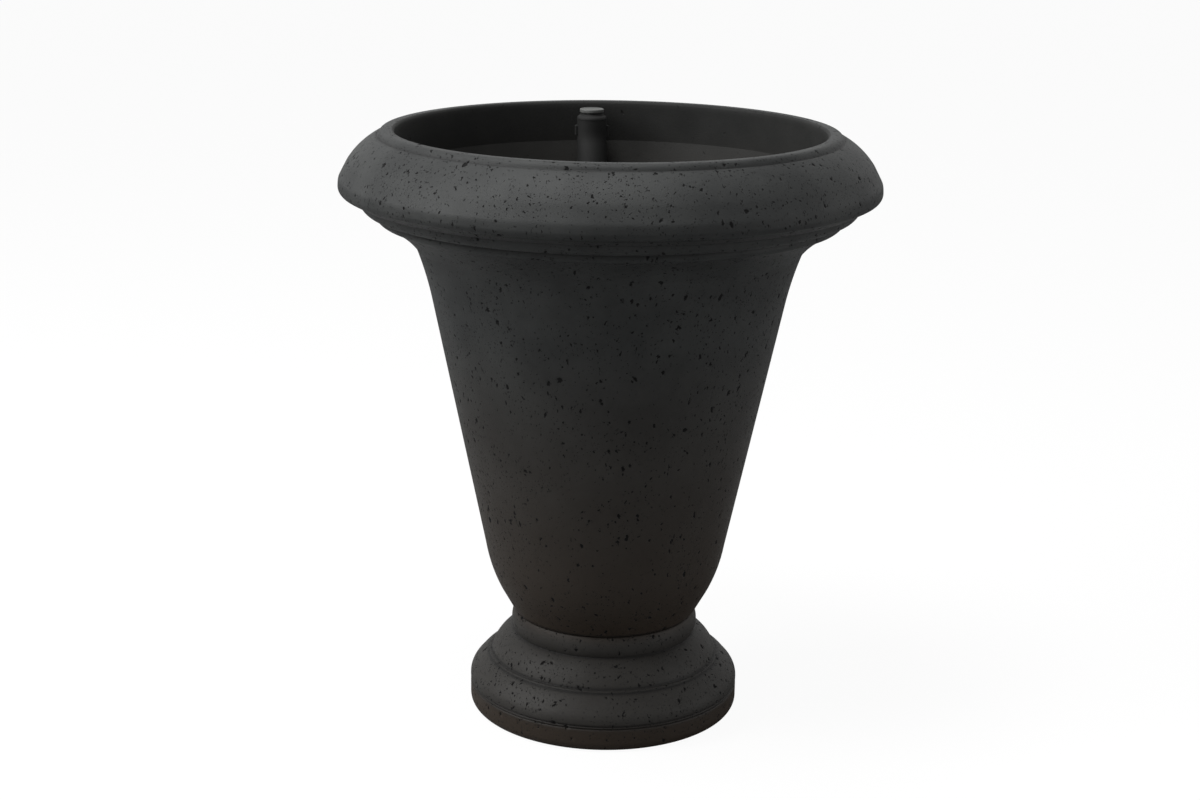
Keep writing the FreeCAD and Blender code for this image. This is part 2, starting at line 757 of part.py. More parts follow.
# ---------------------------------------------------------------- bolted joint

def make_bowl_inserts():
    """Brass inserts moulded into the bosses under the bowl's floor."""
    body = new_body("bowl_inserts", "seat_height")
    section = new_sketch(body, "insert_section", "XY_Plane")
    circle(section, *bolt_place(), "bolt_radius + insert_wall")
    circle(section, *bolt_place(), "bolt_radius + thread_gap")
    insert = pad(body, "insert", section, "insert_length")
    ring_of(body, "inserts", [insert], "bolt_count")
    return body


def make_foot_bolts():
    """Flanged hexagon bolts that hold the bowl to the foot's plate from below."""
    body = new_body("foot_bolts", "bolt_foot")
    head_outline = new_sketch(body, "head_outline", "XY_Plane")
    hexagon(head_outline, *bolt_place(), "bolt_head_flats")
    head = pad(body, "head", head_outline, "bolt_head_height")
    flange_outline = new_sketch(body, "flange_outline", "XY_Plane", "bolt_head_height")
    circle(flange_outline, *bolt_place(), "bolt_flange_radius")
    flange = pad(body, "flange", flange_outline, "bolt_flange_height")
    shank_outline = new_sketch(body, "shank_outline", "XY_Plane", "bolt_head_height")
    circle(shank_outline, *bolt_place(), "bolt_radius")
    shank = pad(body, "shank", shank_outline, "bolt_length")
    ring_of(body, "bolts", [head, flange, shank], "bolt_count")
    return body


# ---------------------------------------------------------------- drain

def make_drain_bushing():
    """Bulkhead bush through the floor: flange inside, barrel and bore below."""
    body = new_body("drain_bushing", "floor_height")
    section = new_sketch(body, "bushing_section")
    outline(section, [
        ("drain_bore", "-bush_length"),
        ("bush_radius", "-bush_length"),
        ("bush_radius", "gasket_thickness"),
        ("bush_radius + bush_flange", "gasket_thickness"),
        ("bush_radius + bush_flange", "gasket_thickness + bush_flange_height"),
        ("drain_bore", "gasket_thickness + bush_flange_height"),
    ])
    revolve(body, "bushing", section)
    return body


def make_drain_gasket():
    """Flat gasket between the bush's flange and the bowl's floor."""
    body = new_body("drain_gasket", "floor_height")
    section = new_sketch(body, "gasket_section", "XY_Plane")
    circle(section, "0", "0", "bush_radius + bush_flange")
    circle(section, "0", "0", "bush_radius + bush_fit")
    pad(body, "gasket", section, "gasket_thickness")
    return body


def make_drain_nut():
    """Nut that pulls the bush down onto its gasket."""
    body = new_body("drain_nut", "bush_foot")
    section = new_sketch(body, "nut_section", "XY_Plane")
    hexagon(section, "0", "0", "drain_nut_flats")
    circle(section, "0", "0", "bush_radius + thread_gap")
    pad(body, "nut", section, "drain_nut_height")
    return body


def make_drain_plug():
    """Screw plug: hollow stem, scalloped head and a grip bar below it."""
    body = new_body("drain_plug", "bush_foot")
    head_top = "-2 * seal_section - 2 * seal_gap"
    head_foot = head_top + " - plug_head_height"
    section = new_sketch(body, "plug_section")
    outline(section, [
        ("0", head_foot),
        ("bush_radius + plug_head_overhang", head_foot),
        ("bush_radius + plug_head_overhang", head_top),
        ("drain_bore - plug_fit", head_top),
        ("drain_bore - plug_fit", "plug_stem"),
        ("drain_bore - plug_fit - plug_core_wall", "plug_stem"),
        ("drain_bore - plug_fit - plug_core_wall", head_top),
        ("0", head_top),
    ])
    revolve(body, "plug_block", section)
    bite = new_sketch(body, "scallop_outline", "XY_Plane", head_foot + " - 1")
    circle(bite, "bush_radius + plug_head_overhang + plug_scallop_radius / 2", "0",
           "plug_scallop_radius")
    scallop = pocket(body, "scallop", bite, "plug_head_height + 2")
    ring_of(body, "scallops", [scallop], "plug_scallops")
    grip = new_sketch(body, "grip_outline", "XY_Plane", head_foot + " - plug_grip_height")
    rectangle(grip, "-bush_radius", "bush_radius", "-plug_grip_width / 2",
              "plug_grip_width / 2")
    pad(body, "grip_bar", grip, "plug_grip_height + 1")
    return body


def make_drain_seal():
    """Flat ring seal that rides on the plug's stem, above its head."""
    body = new_body("drain_seal", "bush_foot")
    section = new_sketch(body, "seal_section_outline")
    middle = "drain_bore + bush_wall / 2"
    rectangle(section, middle + " - seal_section", middle + " + seal_section",
              "-2 * seal_section - seal_gap", "-seal_gap")
    revolve(body, "seal", section)
    return body


# ---------------------------------------------------------------- overflow

def make_overflow_pipe():
    """Standpipe whose top sets the highest water level and whose tail drains below."""
    body = new_body("overflow_pipe", "floor_height", "-overflow_offset")
    section = new_sketch(body, "pipe_section")
    tail = "-bowl_floor - foot_plate - overflow_tail"
    flange_top = "gasket_thickness + overflow_flange_height"
    pipe_top = "reservoir_depth - overflow_top_gap"
    outline(section, [
        ("overflow_radius - overflow_wall", tail),
        ("overflow_radius", tail),
        ("overflow_radius", "gasket_thickness"),
        ("overflow_radius + overflow_flange", "gasket_thickness"),
        ("overflow_radius + overflow_flange", flange_top),
        ("overflow_radius", flange_top + " + overflow_flange / 3"),
        ("overflow_radius", pipe_top),
        ("overflow_radius - overflow_wall", pipe_top),
    ])
    revolve(body, "pipe", section)
    return body


def make_overflow_gasket():
    """Flat gasket under the standpipe's flange."""
    body = new_body("overflow_gasket", "floor_height", "-overflow_offset")
    section = new_sketch(body, "overflow_gasket_section", "XY_Plane")
    circle(section, "0", "0", "overflow_radius + overflow_flange")
    circle(section, "0", "0", "overflow_radius + overflow_fit")
    pad(body, "gasket", section, "gasket_thickness")
    return body


def make_overflow_nut():
    """Nut that holds the standpipe, under the foot's plate."""
    body = new_body("overflow_nut", "plate_under - overflow_nut_height",
                    "-overflow_offset")
    section = new_sketch(body, "overflow_nut_section", "XY_Plane")
    hexagon(section, "0", "0", "overflow_nut_flats")
    circle(section, "0", "0", "overflow_radius + thread_gap")
    pad(body, "nut", section, "overflow_nut_height")
    return body


# ---------------------------------------------------------------- soil platform

def wall_radius(level):
    """Give the bowl's inner radius at a level of its straight body."""
    return "round_inner_radius + (%s - round_level) * body_slope - platform_gap" % level


def make_soil_platform():
    """Slotted disc with an upturned rim that follows the bowl, and the tube's socket."""
    body = new_body("soil_platform", "platform_height")
    section = new_sketch(body, "platform_section")
    foot, top = "platform_level", "(platform_level + platform_rim)"
    plate_top = "(platform_level + platform_thickness)"
    outline(section, [
        ("cup_mouth", "0"),
        (wall_radius(foot), "0"),
        (wall_radius(top), "platform_rim"),
        (wall_radius(top) + " - platform_rim_wall", "platform_rim"),
        (wall_radius(plate_top) + " - platform_rim_wall", "platform_thickness"),
        ("cup_mouth", "platform_thickness"),
    ])
    revolve(body, "platform_disc", section)

    socket_outline = new_sketch(body, "socket_outline", "XY_Plane")
    circle(socket_outline, "0", "tube_foot_radius",
           "tube_radius + socket_fit + socket_wall")
    pad(body, "socket", socket_outline, "platform_thickness + socket_height")
    seat_outline = new_sketch(body, "seat_outline", "XY_Plane", "platform_thickness")
    circle(seat_outline, "0", "tube_foot_radius", "tube_radius + socket_fit")
    pocket(body, "socket_seat", seat_outline, "socket_height + 1")
    throat = new_sketch(body, "throat_outline", "XY_Plane")
    circle(throat, "0", "tube_foot_radius", "tube_bore")
    pocket(body, "socket_throat", throat, "platform_thickness + 1")

    for name, radius in (("inner", "inner_slot_radius"), ("outer", "outer_slot_radius")):
        cut = new_sketch(body, name + "_slot_outline", "XY_Plane")
        rectangle(cut, radius, radius + " + slot_length", "-slot_width / 2",
                  "slot_width / 2")
        opening = pocket(body, name + "_slot", cut, "platform_thickness + 1")
        ring_of(body, name + "_slots", [opening], "slot_count")
    return body


def make_wick_cup():
    """Slotted cup that stands on the floor, carries the platform and draws water up."""
    body = new_body("wick_cup", "floor_height")
    flange_foot = "reservoir_depth - cup_flange_height"
    section = new_sketch(body, "cup_section")
    outline(section, [
        ("0", "cup_skirt - cup_wall"),
        ("cup_mouth - cup_taper", "cup_skirt - cup_wall"),
        ("cup_mouth - cup_taper", "0"),
        ("cup_mouth - cup_taper + cup_wall", "0"),
        ("cup_mouth - cup_taper + cup_wall", "cup_skirt"),
        ("cup_mouth + cup_wall", flange_foot),
        ("cup_mouth + cup_flange", flange_foot),
        ("cup_mouth + cup_flange", "reservoir_depth"),
        ("cup_mouth", "reservoir_depth"),
        ("cup_mouth - cup_taper", "cup_skirt"),
        ("0", "cup_skirt"),
    ])
    revolve(body, "cup_wall_and_floor", section)
    opening = new_sketch(body, "cup_slot_outline")
    slot_foot = "(cup_skirt + reservoir_depth - cup_slot_height) / 2"
    rectangle(opening, "-slot_width / 2", "slot_width / 2", slot_foot,
              slot_foot + " + cup_slot_height")
    cut = pocket(body, "cup_slot", opening, "cup_mouth + 2 * cup_wall", upwards=False)
    ring_of(body, "cup_slots", [cut], "cup_slot_count")
    arch = new_sketch(body, "cup_arch_outline")
    rectangle(arch, "-cup_arch_width / 2", "cup_arch_width / 2", "-1", "cup_arch_height")
    notch = pocket(body, "cup_arch", arch, "cup_mouth + cup_wall", upwards=False)
    ring_of(body, "cup_arches", [notch], "bolt_count")
    return body


# ---------------------------------------------------------------- fill column

def make_fill_tube():
    """Bent column from the rim down the bowl's wall to the platform's socket."""
    body = new_body("fill_tube")
    path = new_sketch(body, "tube_path", "YZ_Plane")
    bent_path(path, [
        ("tube_foot_radius", "tube_foot"),
        ("tube_foot_radius", "tube_foot + lower_elbow_rise"),
        ("flare_inner_radius - middle_elbow_inset",
         "seat_height + flare_level - middle_elbow_drop"),
        ("tube_axis_radius", "seat_height + lip_level - upper_elbow_drop"),
        ("tube_axis_radius", "tube_top"),
    ], "elbow_radius")
    section = new_sketch(body, "tube_section", "XY_Plane", "tube_foot")
    circle(section, "0", "tube_foot_radius", "tube_radius")
    circle(section, "0", "tube_foot_radius", "tube_bore")
    doc.recompute()
    pipe = body.newObject("PartDesign::AdditivePipe", "tube")
    pipe.Profile = section
    pipe.Spine = path
    doc.recompute()
    area = math.pi * (number("tube_radius") ** 2 - number("tube_bore") ** 2)
    length = sum(edge.Length for edge in path.Shape.Edges)
    print("fill tube: volume over section times length is %.5f"
          % (body.Shape.Volume / (area * length)))
    return body


def make_fill_neck():
    """Insert in the column's top: spigot, rounded shoulder, ring and the cap's bore."""
    body = new_body("fill_neck", "tube_top", "tube_axis_radius")
    section = new_sketch(body, "neck_section")
    ring_foot = "neck_edge + shoulder_height"
    outline(section, [
        ("neck_bore", "-neck_spigot"),
        ("tube_bore - neck_fit", "-neck_spigot"),
        ("tube_bore - neck_fit", "0"),
        ("tube_radius", "0"),
        ("tube_radius", "neck_edge"),
        ("tube_radius - shoulder_inset / 4", "neck_edge + shoulder_height * 2 / 3"),
        ("tube_radius - shoulder_inset", ring_foot),
        ("tube_radius - shoulder_inset", ring_foot + " + neck_ring_height"),
        ("neck_bore", ring_foot + " + neck_ring_height"),
    ])
    revolve(body, "neck", section)
    return body


def make_cap_gasket():
    """Ring gasket under the cap."""
    body = new_body("cap_gasket", "tube_top", "tube_axis_radius")
    section = new_sketch(body, "cap_gasket_section", "XY_Plane", "cap_seat")
    circle(section, "0", "0", "stem_radius + cap_gasket_width")
    circle(section, "0", "0", "stem_radius + thread_gap")
    pad(body, "gasket", section, "cap_gasket_height")
    return body


def make_fill_cap():
    """Lift-out cap: dished top with a rolled edge, over a hollow stem."""
    body = new_body("fill_cap", "tube_top", "tube_axis_radius")
    section = new_sketch(body, "cap_section")
    cap_top = "cap_under + cap_height"
    outline(section, [
        ("0", cap_top + " - cap_dish - cap_skin"),
        ("stem_radius - cap_stem_wall", cap_top + " - cap_dish - cap_skin"),
        ("stem_radius - cap_stem_wall", "cap_under - cap_stem"),
        ("stem_radius", "cap_under - cap_stem"),
        ("stem_radius", "cap_under"),
        ("cap_radius", "cap_under"),
        ("cap_radius", cap_top + " - cap_round"),
        ("cap_radius - cap_round", cap_top),
        ("cap_radius - cap_rim_width", cap_top),
        ("cap_radius - cap_rim_width - cap_dish", cap_top + " - cap_dish"),
        ("0", cap_top + " - cap_dish"),
    ])
    revolve(body, "cap", section)
    return body


# ---------------------------------------------------------------- column clip

def make_tube_clip():
    """Snap clip: a plate on the rim's inner wall, a web and two arms round the tube."""
    body = new_body("tube_clip", "clip_foot")
    arms_foot = "clip_arm_foot - clip_foot"
    ring = new_sketch(body, "arm_outline", "XY_Plane", arms_foot)
    circle(ring, "0", "tube_axis_radius", "tube_radius + clip_fit + clip_arm")
    pad(body, "arm_ring", ring, "clip_arm_height")
    web = new_sketch(body, "web_outline", "XY_Plane", arms_foot)
    rectangle(web, "-clip_web_width / 2", "clip_web_width / 2",
              "tube_axis_radius + tube_radius - 2 * clip_arm", "clip_plate_front + 1")
    pad(body, "web", web, "clip_arm_height")
    plate = new_sketch(body, "plate_outline", "XY_Plane")
    half = "clip_plate_width / 2"
    edge = "sqrt(mouth_foot_radius^2 - (%s)^2)" % half
    outline(plate, [
        ("-" + half, "clip_plate_front - 1"),
        (half, "clip_plate_front - 1"),
        (half, edge),
        ("-" + half, edge, "mouth_foot_radius - " + edge),
    ])
    pad(body, "plate", plate, "clip_plate_height")

    bore = new_sketch(body, "snap_outline", "XY_Plane", arms_foot + " - 1")
    circle(bore, "0", "tube_axis_radius", "tube_radius + clip_fit")
    pocket(body, "snap_bore", bore, "clip_arm_height + 2")
    mouth = new_sketch(body, "snap_mouth_outline", "XY_Plane", arms_foot + " - 1")
    rectangle(mouth, "-tube_radius - 2 * clip_arm", "tube_radius + 2 * clip_arm",
              "tube_axis_radius - 2 * tube_radius", "tube_axis_radius - clip_wrap")
    pocket(body, "snap_mouth", mouth, "clip_arm_height + 2")

    through = new_sketch(body, "screw_hole_outline")
    seat = new_sketch(body, "screw_seat_outline")
    for height in ("screw_inset", "screw_inset + screw_spacing"):
        circle(through, "0", height, "screw_radius + screw_gap")
        circle(seat, "0", height, "screw_head_radius + screw_gap")
    pocket(body, "screw_holes", through, "mouth_radius + 1", upwards=False)
    pocket(body, "screw_seats", seat, "clip_plate_front - 1 + screw_head_height",
           upwards=False)
    return body


def make_clip_screws():
    """Pan-head screws that hold the clip's plate to the rim's inner wall."""
    body = doc.addObject("PartDesign::Body", "clip_screws")
    body.Label = "clip_screws"
    body.AllowCompound = True
    section = new_sketch(body, "screw_section")
    outline(section, [
        ("0", "0"),
        ("screw_head_radius", "0"),
        ("screw_head_radius", "screw_head_height"),
        ("screw_radius", "screw_head_height"),
        ("screw_radius", "screw_length - screw_point"),
        ("0", "screw_length"),
    ])
    screw = revolve(body, "screw", section)
    row = body.newObject("PartDesign::LinearPattern", "screw_row")
    row.Originals = [screw]
    across = [item for item in body.Origin.OriginFeatures if item.Role == "Y_Axis"][0]
    row.Direction = (across, [""])
    row.setExpression("Length", bound("screw_spacing"))
    row.Occurrences = 2
    body.Tip = row
    body.setExpression(
        "Placement",
        "placement(vector(0; %s; %s); rotation(vector(1; 0; 0); -90))"
        % (bound("clip_plate_front - 1"), bound("lower_screw_height + screw_spacing")))
    doc.recompute()
    return body


# ---------------------------------------------------------------- assembly

MAKERS = [
    make_foot, make_bowl, make_bowl_inserts, make_foot_bolts,
    make_drain_bushing, make_drain_gasket, make_drain_nut, make_drain_plug,
    make_drain_seal, make_overflow_pipe, make_overflow_gasket, make_overflow_nut,
    make_soil_platform, make_wick_cup, make_fill_tube, make_fill_neck, make_cap_gasket,
    make_fill_cap, make_tube_clip, make_clip_screws,
]


def check(bodies):
    """Stop if any object of the document or any sub-part's shape is faulty."""
    for item in doc.Objects:
        if {"Invalid", "Error"} & set(item.State):
            raise ValueError("%s is %s" % (item.Label, item.State))
    for body in bodies:
        if body.Shape.isNull() or not body.Shape.isValid():
            raise ValueError(body.Label + " has a null or invalid shape")


def export(bodies):
    """Write each sub-part to its own file, at its place in the planter."""
    os.makedirs("parts", exist_ok=True)
    for body in bodies:
        body.Shape.exportStep("parts/%s.step" % body.Label)
        print("%-16s %2d solid(s) %12.1f mm3"
              % (body.Label, len(body.Shape.Solids), body.Shape.Volume))


SHEET = fill_sheet()
BODIES = [maker() for maker in MAKERS]
doc.recompute()
check(BODIES)
export(BODIES)
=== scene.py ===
"""Looks of the urn planter: turned stone shells, fitted parts, studio and camera.

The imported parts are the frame, and every piece here keeps their sizes. The bowl and the
foot are turned again with fine, softened mouldings and worn pits. The parts inside keep
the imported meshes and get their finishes. Sections are given in millimetres, and what
Blender takes is in metres.
"""
import json
import logging
import math
from dataclasses import dataclass
from enum import Enum
from typing import Any, Callable, Sequence

import bpy
import numpy as np
from mathutils import Matrix, Vector

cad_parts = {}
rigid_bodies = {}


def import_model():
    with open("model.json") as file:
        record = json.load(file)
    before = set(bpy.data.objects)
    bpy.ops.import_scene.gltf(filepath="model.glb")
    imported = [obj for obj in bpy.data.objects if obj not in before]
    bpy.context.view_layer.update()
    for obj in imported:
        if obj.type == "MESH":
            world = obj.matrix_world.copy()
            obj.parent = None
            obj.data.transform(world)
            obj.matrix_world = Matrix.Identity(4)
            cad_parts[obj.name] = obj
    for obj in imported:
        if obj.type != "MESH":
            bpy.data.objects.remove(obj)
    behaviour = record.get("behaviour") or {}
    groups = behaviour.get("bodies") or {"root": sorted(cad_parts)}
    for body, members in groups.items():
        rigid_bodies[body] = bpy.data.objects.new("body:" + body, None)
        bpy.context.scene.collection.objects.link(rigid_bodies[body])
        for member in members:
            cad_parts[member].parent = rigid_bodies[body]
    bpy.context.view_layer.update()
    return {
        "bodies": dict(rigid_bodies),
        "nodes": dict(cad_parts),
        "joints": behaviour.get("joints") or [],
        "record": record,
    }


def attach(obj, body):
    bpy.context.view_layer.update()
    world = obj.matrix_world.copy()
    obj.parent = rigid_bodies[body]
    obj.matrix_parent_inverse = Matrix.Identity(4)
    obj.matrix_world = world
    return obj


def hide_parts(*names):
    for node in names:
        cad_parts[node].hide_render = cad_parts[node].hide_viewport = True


MM = 0.001
MERGE_DISTANCE = 0.00002
SHARP_ANGLE = math.radians(42)
PHOTO_WIDTH = 1200
SENSOR_WIDTH = 36.0
LOG = logging.getLogger("urn_planter")


# ------------------------------------------------------------------ modelling helpers


@dataclass(frozen=True)
class Corner:
    """A corner of a section that is turned about the upright axis.

    Attributes:
        radius: Distance from the axis, in millimetres.
        height: Height above the floor, in millimetres.
        swell: How far the edge that arrives here bulges to the right of its way.
        spacing: Distance between the points along that edge.
    """

    radius: float
    height: float
    swell: float = 0.0
    spacing: float = 1.6


def deselect_all() -> None:
    """Deselect every object, so that an operator acts on the new piece alone."""
    for chosen in list(bpy.context.selected_objects):
        chosen.select_set(False)


def choose(piece: bpy.types.Object) -> None:
    """Select one piece and make it the active one."""
    deselect_all()
    piece.select_set(True)
    bpy.context.view_layer.objects.active = piece


def sampled(section: Sequence[Corner]) -> list[tuple[float, float]]:
    """Lay points along a closed section.

    Args:
        section: The corners, in order round the section.

    Returns:
        Radius and height of each point, in millimetres.
    """
    points: list[tuple[float, float]] = []
    for before, corner in zip([section[-1], *section[:-1]], section):
        run = corner.radius - before.radius
        rise = corner.height - before.height
        length = math.hypot(run, rise)
        count = max(1, round(length / corner.spacing))
        for step in range(1, count + 1):
            share = step / count
            bulge = 4 * corner.swell * share * (1 - share) / length
            points.append((before.radius + run * share + rise * bulge,
                           before.height + rise * share - run * bulge))
    return points


def softened(points: list[tuple[float, float]], passes: int,
             reach: float = 2.6) -> list[tuple[float, float]]:
    """Round the corners between closely spaced points.

    Args:
        points: Radius and height of each point of a closed section.
        passes: How often each point is drawn towards its neighbours.
        reach: Only points whose neighbours are nearer than this are moved.

    Returns:
        The rounded points.
    """
    for _ in range(passes):
        smooth = []
        for index, here in enumerate(points):
            last, following = points[index - 1], points[(index + 1) % len(points)]
            if max(math.dist(last, here), math.dist(here, following)) > reach:
                smooth.append(here)
                continue
            smooth.append(((last[0] + 2 * here[0] + following[0]) / 4,
                           (last[1] + 2 * here[1] + following[1]) / 4))
        points = smooth
    return points


def turned(name: str, section: Sequence[Corner], steps: int, passes: int = 1,
           centre: tuple[float, float] = (0.0, 0.0)) -> bpy.types.Object:
    """Turn a closed section about an upright axis.

    Args:
        name: The piece's name.
        section: The corners of the section.
        steps: How many steps go round the axis.
        passes: How often the corners are softened.
        centre: Where the axis stands, in millimetres.

    Returns:
        The closed piece, with its place in its mesh.
    """
    points = softened(sampled(section), passes)
    deselect_all()
    bpy.ops.mesh.primitive_circle_add(vertices=len(points), radius=0.1)
    piece = bpy.context.active_object
    piece.name = piece.data.name = name
    for vertex, (radius, height) in zip(piece.data.vertices, points):
        vertex.co = (radius * MM, 0.0, height * MM)
    turn = piece.modifiers.new("turn", "SCREW")
    turn.axis, turn.angle = "Z", math.tau
    turn.steps = turn.render_steps = steps
    turn.use_merge_vertices, turn.merge_threshold = True, MERGE_DISTANCE
    choose(piece)
    bpy.ops.object.modifier_apply(modifier="turn")
    piece.location = (centre[0] * MM, centre[1] * MM, 0.0)
    bpy.ops.object.transform_apply(location=True, rotation=True, scale=True)
    bpy.ops.object.mode_set(mode="EDIT")
    bpy.ops.mesh.select_all(action="SELECT")
    bpy.ops.mesh.remove_doubles(threshold=MERGE_DISTANCE)
    bpy.ops.mesh.delete_loose(use_verts=True, use_edges=True, use_faces=False)
    bpy.ops.mesh.select_all(action="SELECT")
    bpy.ops.mesh.normals_make_consistent(inside=False)
    bpy.ops.object.mode_set(mode="OBJECT")
    choose(piece)
    bpy.ops.object.shade_smooth_by_angle(angle=SHARP_ANGLE)
    return piece


def joined(parts: Sequence[bpy.types.Object], name: str) -> bpy.types.Object:
    """Join pieces into one, and name it."""
    deselect_all()
    for part in parts:
        part.select_set(True)
    bpy.context.view_layer.objects.active = parts[0]
    bpy.ops.object.join()
    whole = bpy.context.active_object
    whole.name = whole.data.name = name
    return whole


def turned_copy(piece: bpy.types.Object, angle: float) -> bpy.types.Object:
    """Copy a piece and turn the copy about the upright axis, in radians."""
    copy = piece.copy()
    copy.data = piece.data.copy()
    copy.data.transform(Matrix.Rotation(angle, 4, "Z"))
    bpy.context.scene.collection.objects.link(copy)
    return copy


def vectors(rows: Any, name: str) -> np.ndarray:
    """Read one vector of each vertex or face of a mesh."""
    values = np.empty(len(rows) * 3, np.float32)
    rows.foreach_get(name, values)
    return values.reshape(-1, 3)


def radius_and_lean(places: np.ndarray,
                    normals: np.ndarray) -> tuple[np.ndarray, np.ndarray]:
    """Measure places and normals against the upright axis.

    Args:
        places: Places, in metres.
        normals: The normal at each place.

    Returns:
        The distance from the axis, and how far each normal points away from it.
    """
    radius = np.maximum(np.hypot(places[:, 0], places[:, 1]), 1e-6)
    lean = (places[:, 0] * normals[:, 0] + places[:, 1] * normals[:, 1]) / radius
    return radius, lean


def mark_seams(piece: bpy.types.Object, seams: Sequence[tuple[float, float]],
               reach: float = 4.5) -> None:
    """Store how near each vertex lies to a seam between two mouldings, which weighs the shade
    painted there.

    Args:
        piece: A turned piece, which gets the attribute "seam", from 0 to 1.
        seams: Radius and height of each seam, in millimetres.
        reach: How far the painted shade spreads from a seam, in millimetres.
    """
    places = vectors(piece.data.vertices, "co") / MM
    radius = np.hypot(places[:, 0], places[:, 1])
    nearest = np.full(len(places), reach)
    for seam_radius, seam_height in seams:
        nearest = np.minimum(nearest, np.hypot(radius - seam_radius,
                                               places[:, 2] - seam_height))
    attribute = piece.data.attributes.new("seam", "FLOAT", "POINT")
    attribute.data.foreach_set("value", ((1 - nearest / reach) ** 2).astype(np.float32))


def outward(piece: bpy.types.Object) -> np.ndarray:
    """Tell which vertices face away from the upright axis."""
    corners = piece.data.vertices
    _, lean = radius_and_lean(vectors(corners, "co"), vectors(corners, "normal"))
    return lean > -0.12


@dataclass(frozen=True)
class Pits:
    """The larger hollows of a stone surface, pressed into its shape.

    Attributes:
        size: How many cells, each with one pit at most, fit in a metre.
        radius: Radius of the largest pit, as a share of a cell.
        share: How many of the cells have a pit. Over 1, the crowded patches spread.
        depth: How deep the pits go, in millimetres.
    """

    size: float = 108.0
    radius: float = 0.25
    share: float = 1.35
    depth: float = 0.7

    def press_into(self, piece: bpy.types.Object, pattern: bpy.types.NodeTree) -> None:
        """Sink the pits into the outer side of a piece.

        Args:
            piece: The piece, which is changed.
            pattern: The pitting group for geometry, the same as the finish's own.
        """
        outside = piece.vertex_groups.new(name="outside")
        outside.add([int(i) for i in np.flatnonzero(outward(piece))], 1.0, "REPLACE")
        tree = bpy.data.node_groups.new("press_pits", "GeometryNodeTree")
        socket_of(tree, "Geometry", "NodeSocketGeometry", True)
        socket_of(tree, "Geometry", "NodeSocketGeometry", False)
        link = tree.links.new
        inputs = add_node(tree, "NodeGroupInput")
        outputs = add_node(tree, "NodeGroupOutput")
        pits = add_node(tree, "GeometryNodeGroup", node_tree=pattern)
        link(add_node(tree, "GeometryNodeInputPosition").outputs[0], pits.inputs["Vector"])
        for name in ("size", "radius", "share"):
            pits.inputs[name.title()].default_value = getattr(self, name)
        chosen = add_node(tree, "GeometryNodeInputNamedAttribute", data_type="FLOAT")
        chosen.inputs["Name"].default_value = "outside"
        sunk = add_node(tree, "ShaderNodeMath", operation="MULTIPLY")
        link(pits.outputs["Mask"], sunk.inputs[0])
        link(chosen.outputs["Attribute"], sunk.inputs[1])
        deep = add_node(tree, "ShaderNodeMath", operation="MULTIPLY")
        link(sunk.outputs[0], deep.inputs[0])
        deep.inputs[1].default_value = -self.depth * MM
        offset = add_node(tree, "ShaderNodeVectorMath", operation="SCALE")
        link(add_node(tree, "GeometryNodeInputNormal").outputs["Normal"], offset.inputs[0])
        link(deep.outputs[0], offset.inputs["Scale"])
        move = add_node(tree, "GeometryNodeSetPosition")
        link(inputs.outputs["Geometry"], move.inputs["Geometry"])
        link(offset.outputs["Vector"], move.inputs["Offset"])
        link(move.outputs["Geometry"], outputs.inputs["Geometry"])
        press = piece.modifiers.new("pits", "NODES")
        press.node_group = tree
        choose(piece)
        bpy.ops.object.modifier_apply(modifier="pits")
        piece.vertex_groups.remove(piece.vertex_groups["outside"])


# ------------------------------------------------------------------ finishes


class Fitting(Enum):
    """The finishes that the record names for the fitted parts."""

    COLUMN = "column_grey"
    CAP = "cap_grey"
    LINER = "liner_black"
    FITTING = "fitting_black"
    SEAL = "seal_rubber"
    BOLT = "bolt_steel"
    INSERT = "insert_brass"


def socket_of(group: bpy.types.NodeTree, name: str, kind: str, incoming: bool,
              value: Any = None) -> None:
    """Give a node group one named input or output."""
    way = "INPUT" if incoming else "OUTPUT"
    socket = group.interface.new_socket(name, in_out=way, socket_type=kind)
    if value is not None:
        socket.default_value = value


def add_node(tree: bpy.types.NodeTree, kind: str, **settings: Any) -> bpy.types.Node:
    """Add a node and set its options."""
    node = tree.nodes.new(kind)
    for name, value in settings.items():
        setattr(node, name, value)
    return node


def warped(tree: bpy.types.NodeTree, vector: bpy.types.NodeSocket, scale: float,
           reach: float) -> bpy.types.NodeSocket:
    """Push a place about by smooth noise.

    Args:
        tree: The tree that the nodes go into.
        vector: The place.
        scale: The scale of the noise.
        reach: How far the place moves, in metres.

    Returns:
        The pushed place.
    """
    noise = add_node(tree, "ShaderNodeTexNoise")
    noise.inputs["Scale"].default_value = scale
    noise.inputs["Detail"].default_value = 1.0
    tree.links.new(vector, noise.inputs["Vector"])
    centred = add_node(tree, "ShaderNodeVectorMath", operation="SUBTRACT")
    tree.links.new(noise.outputs["Color"], centred.inputs[0])
    centred.inputs[1].default_value = (0.5, 0.5, 0.5)
    push = add_node(tree, "ShaderNodeVectorMath", operation="SCALE")
    tree.links.new(centred.outputs["Vector"], push.inputs[0])
    push.inputs["Scale"].default_value = reach
    moved = add_node(tree, "ShaderNodeVectorMath", operation="ADD")
    tree.links.new(vector, moved.inputs[0])
    tree.links.new(push.outputs["Vector"], moved.inputs[1])
    return moved.outputs["Vector"]


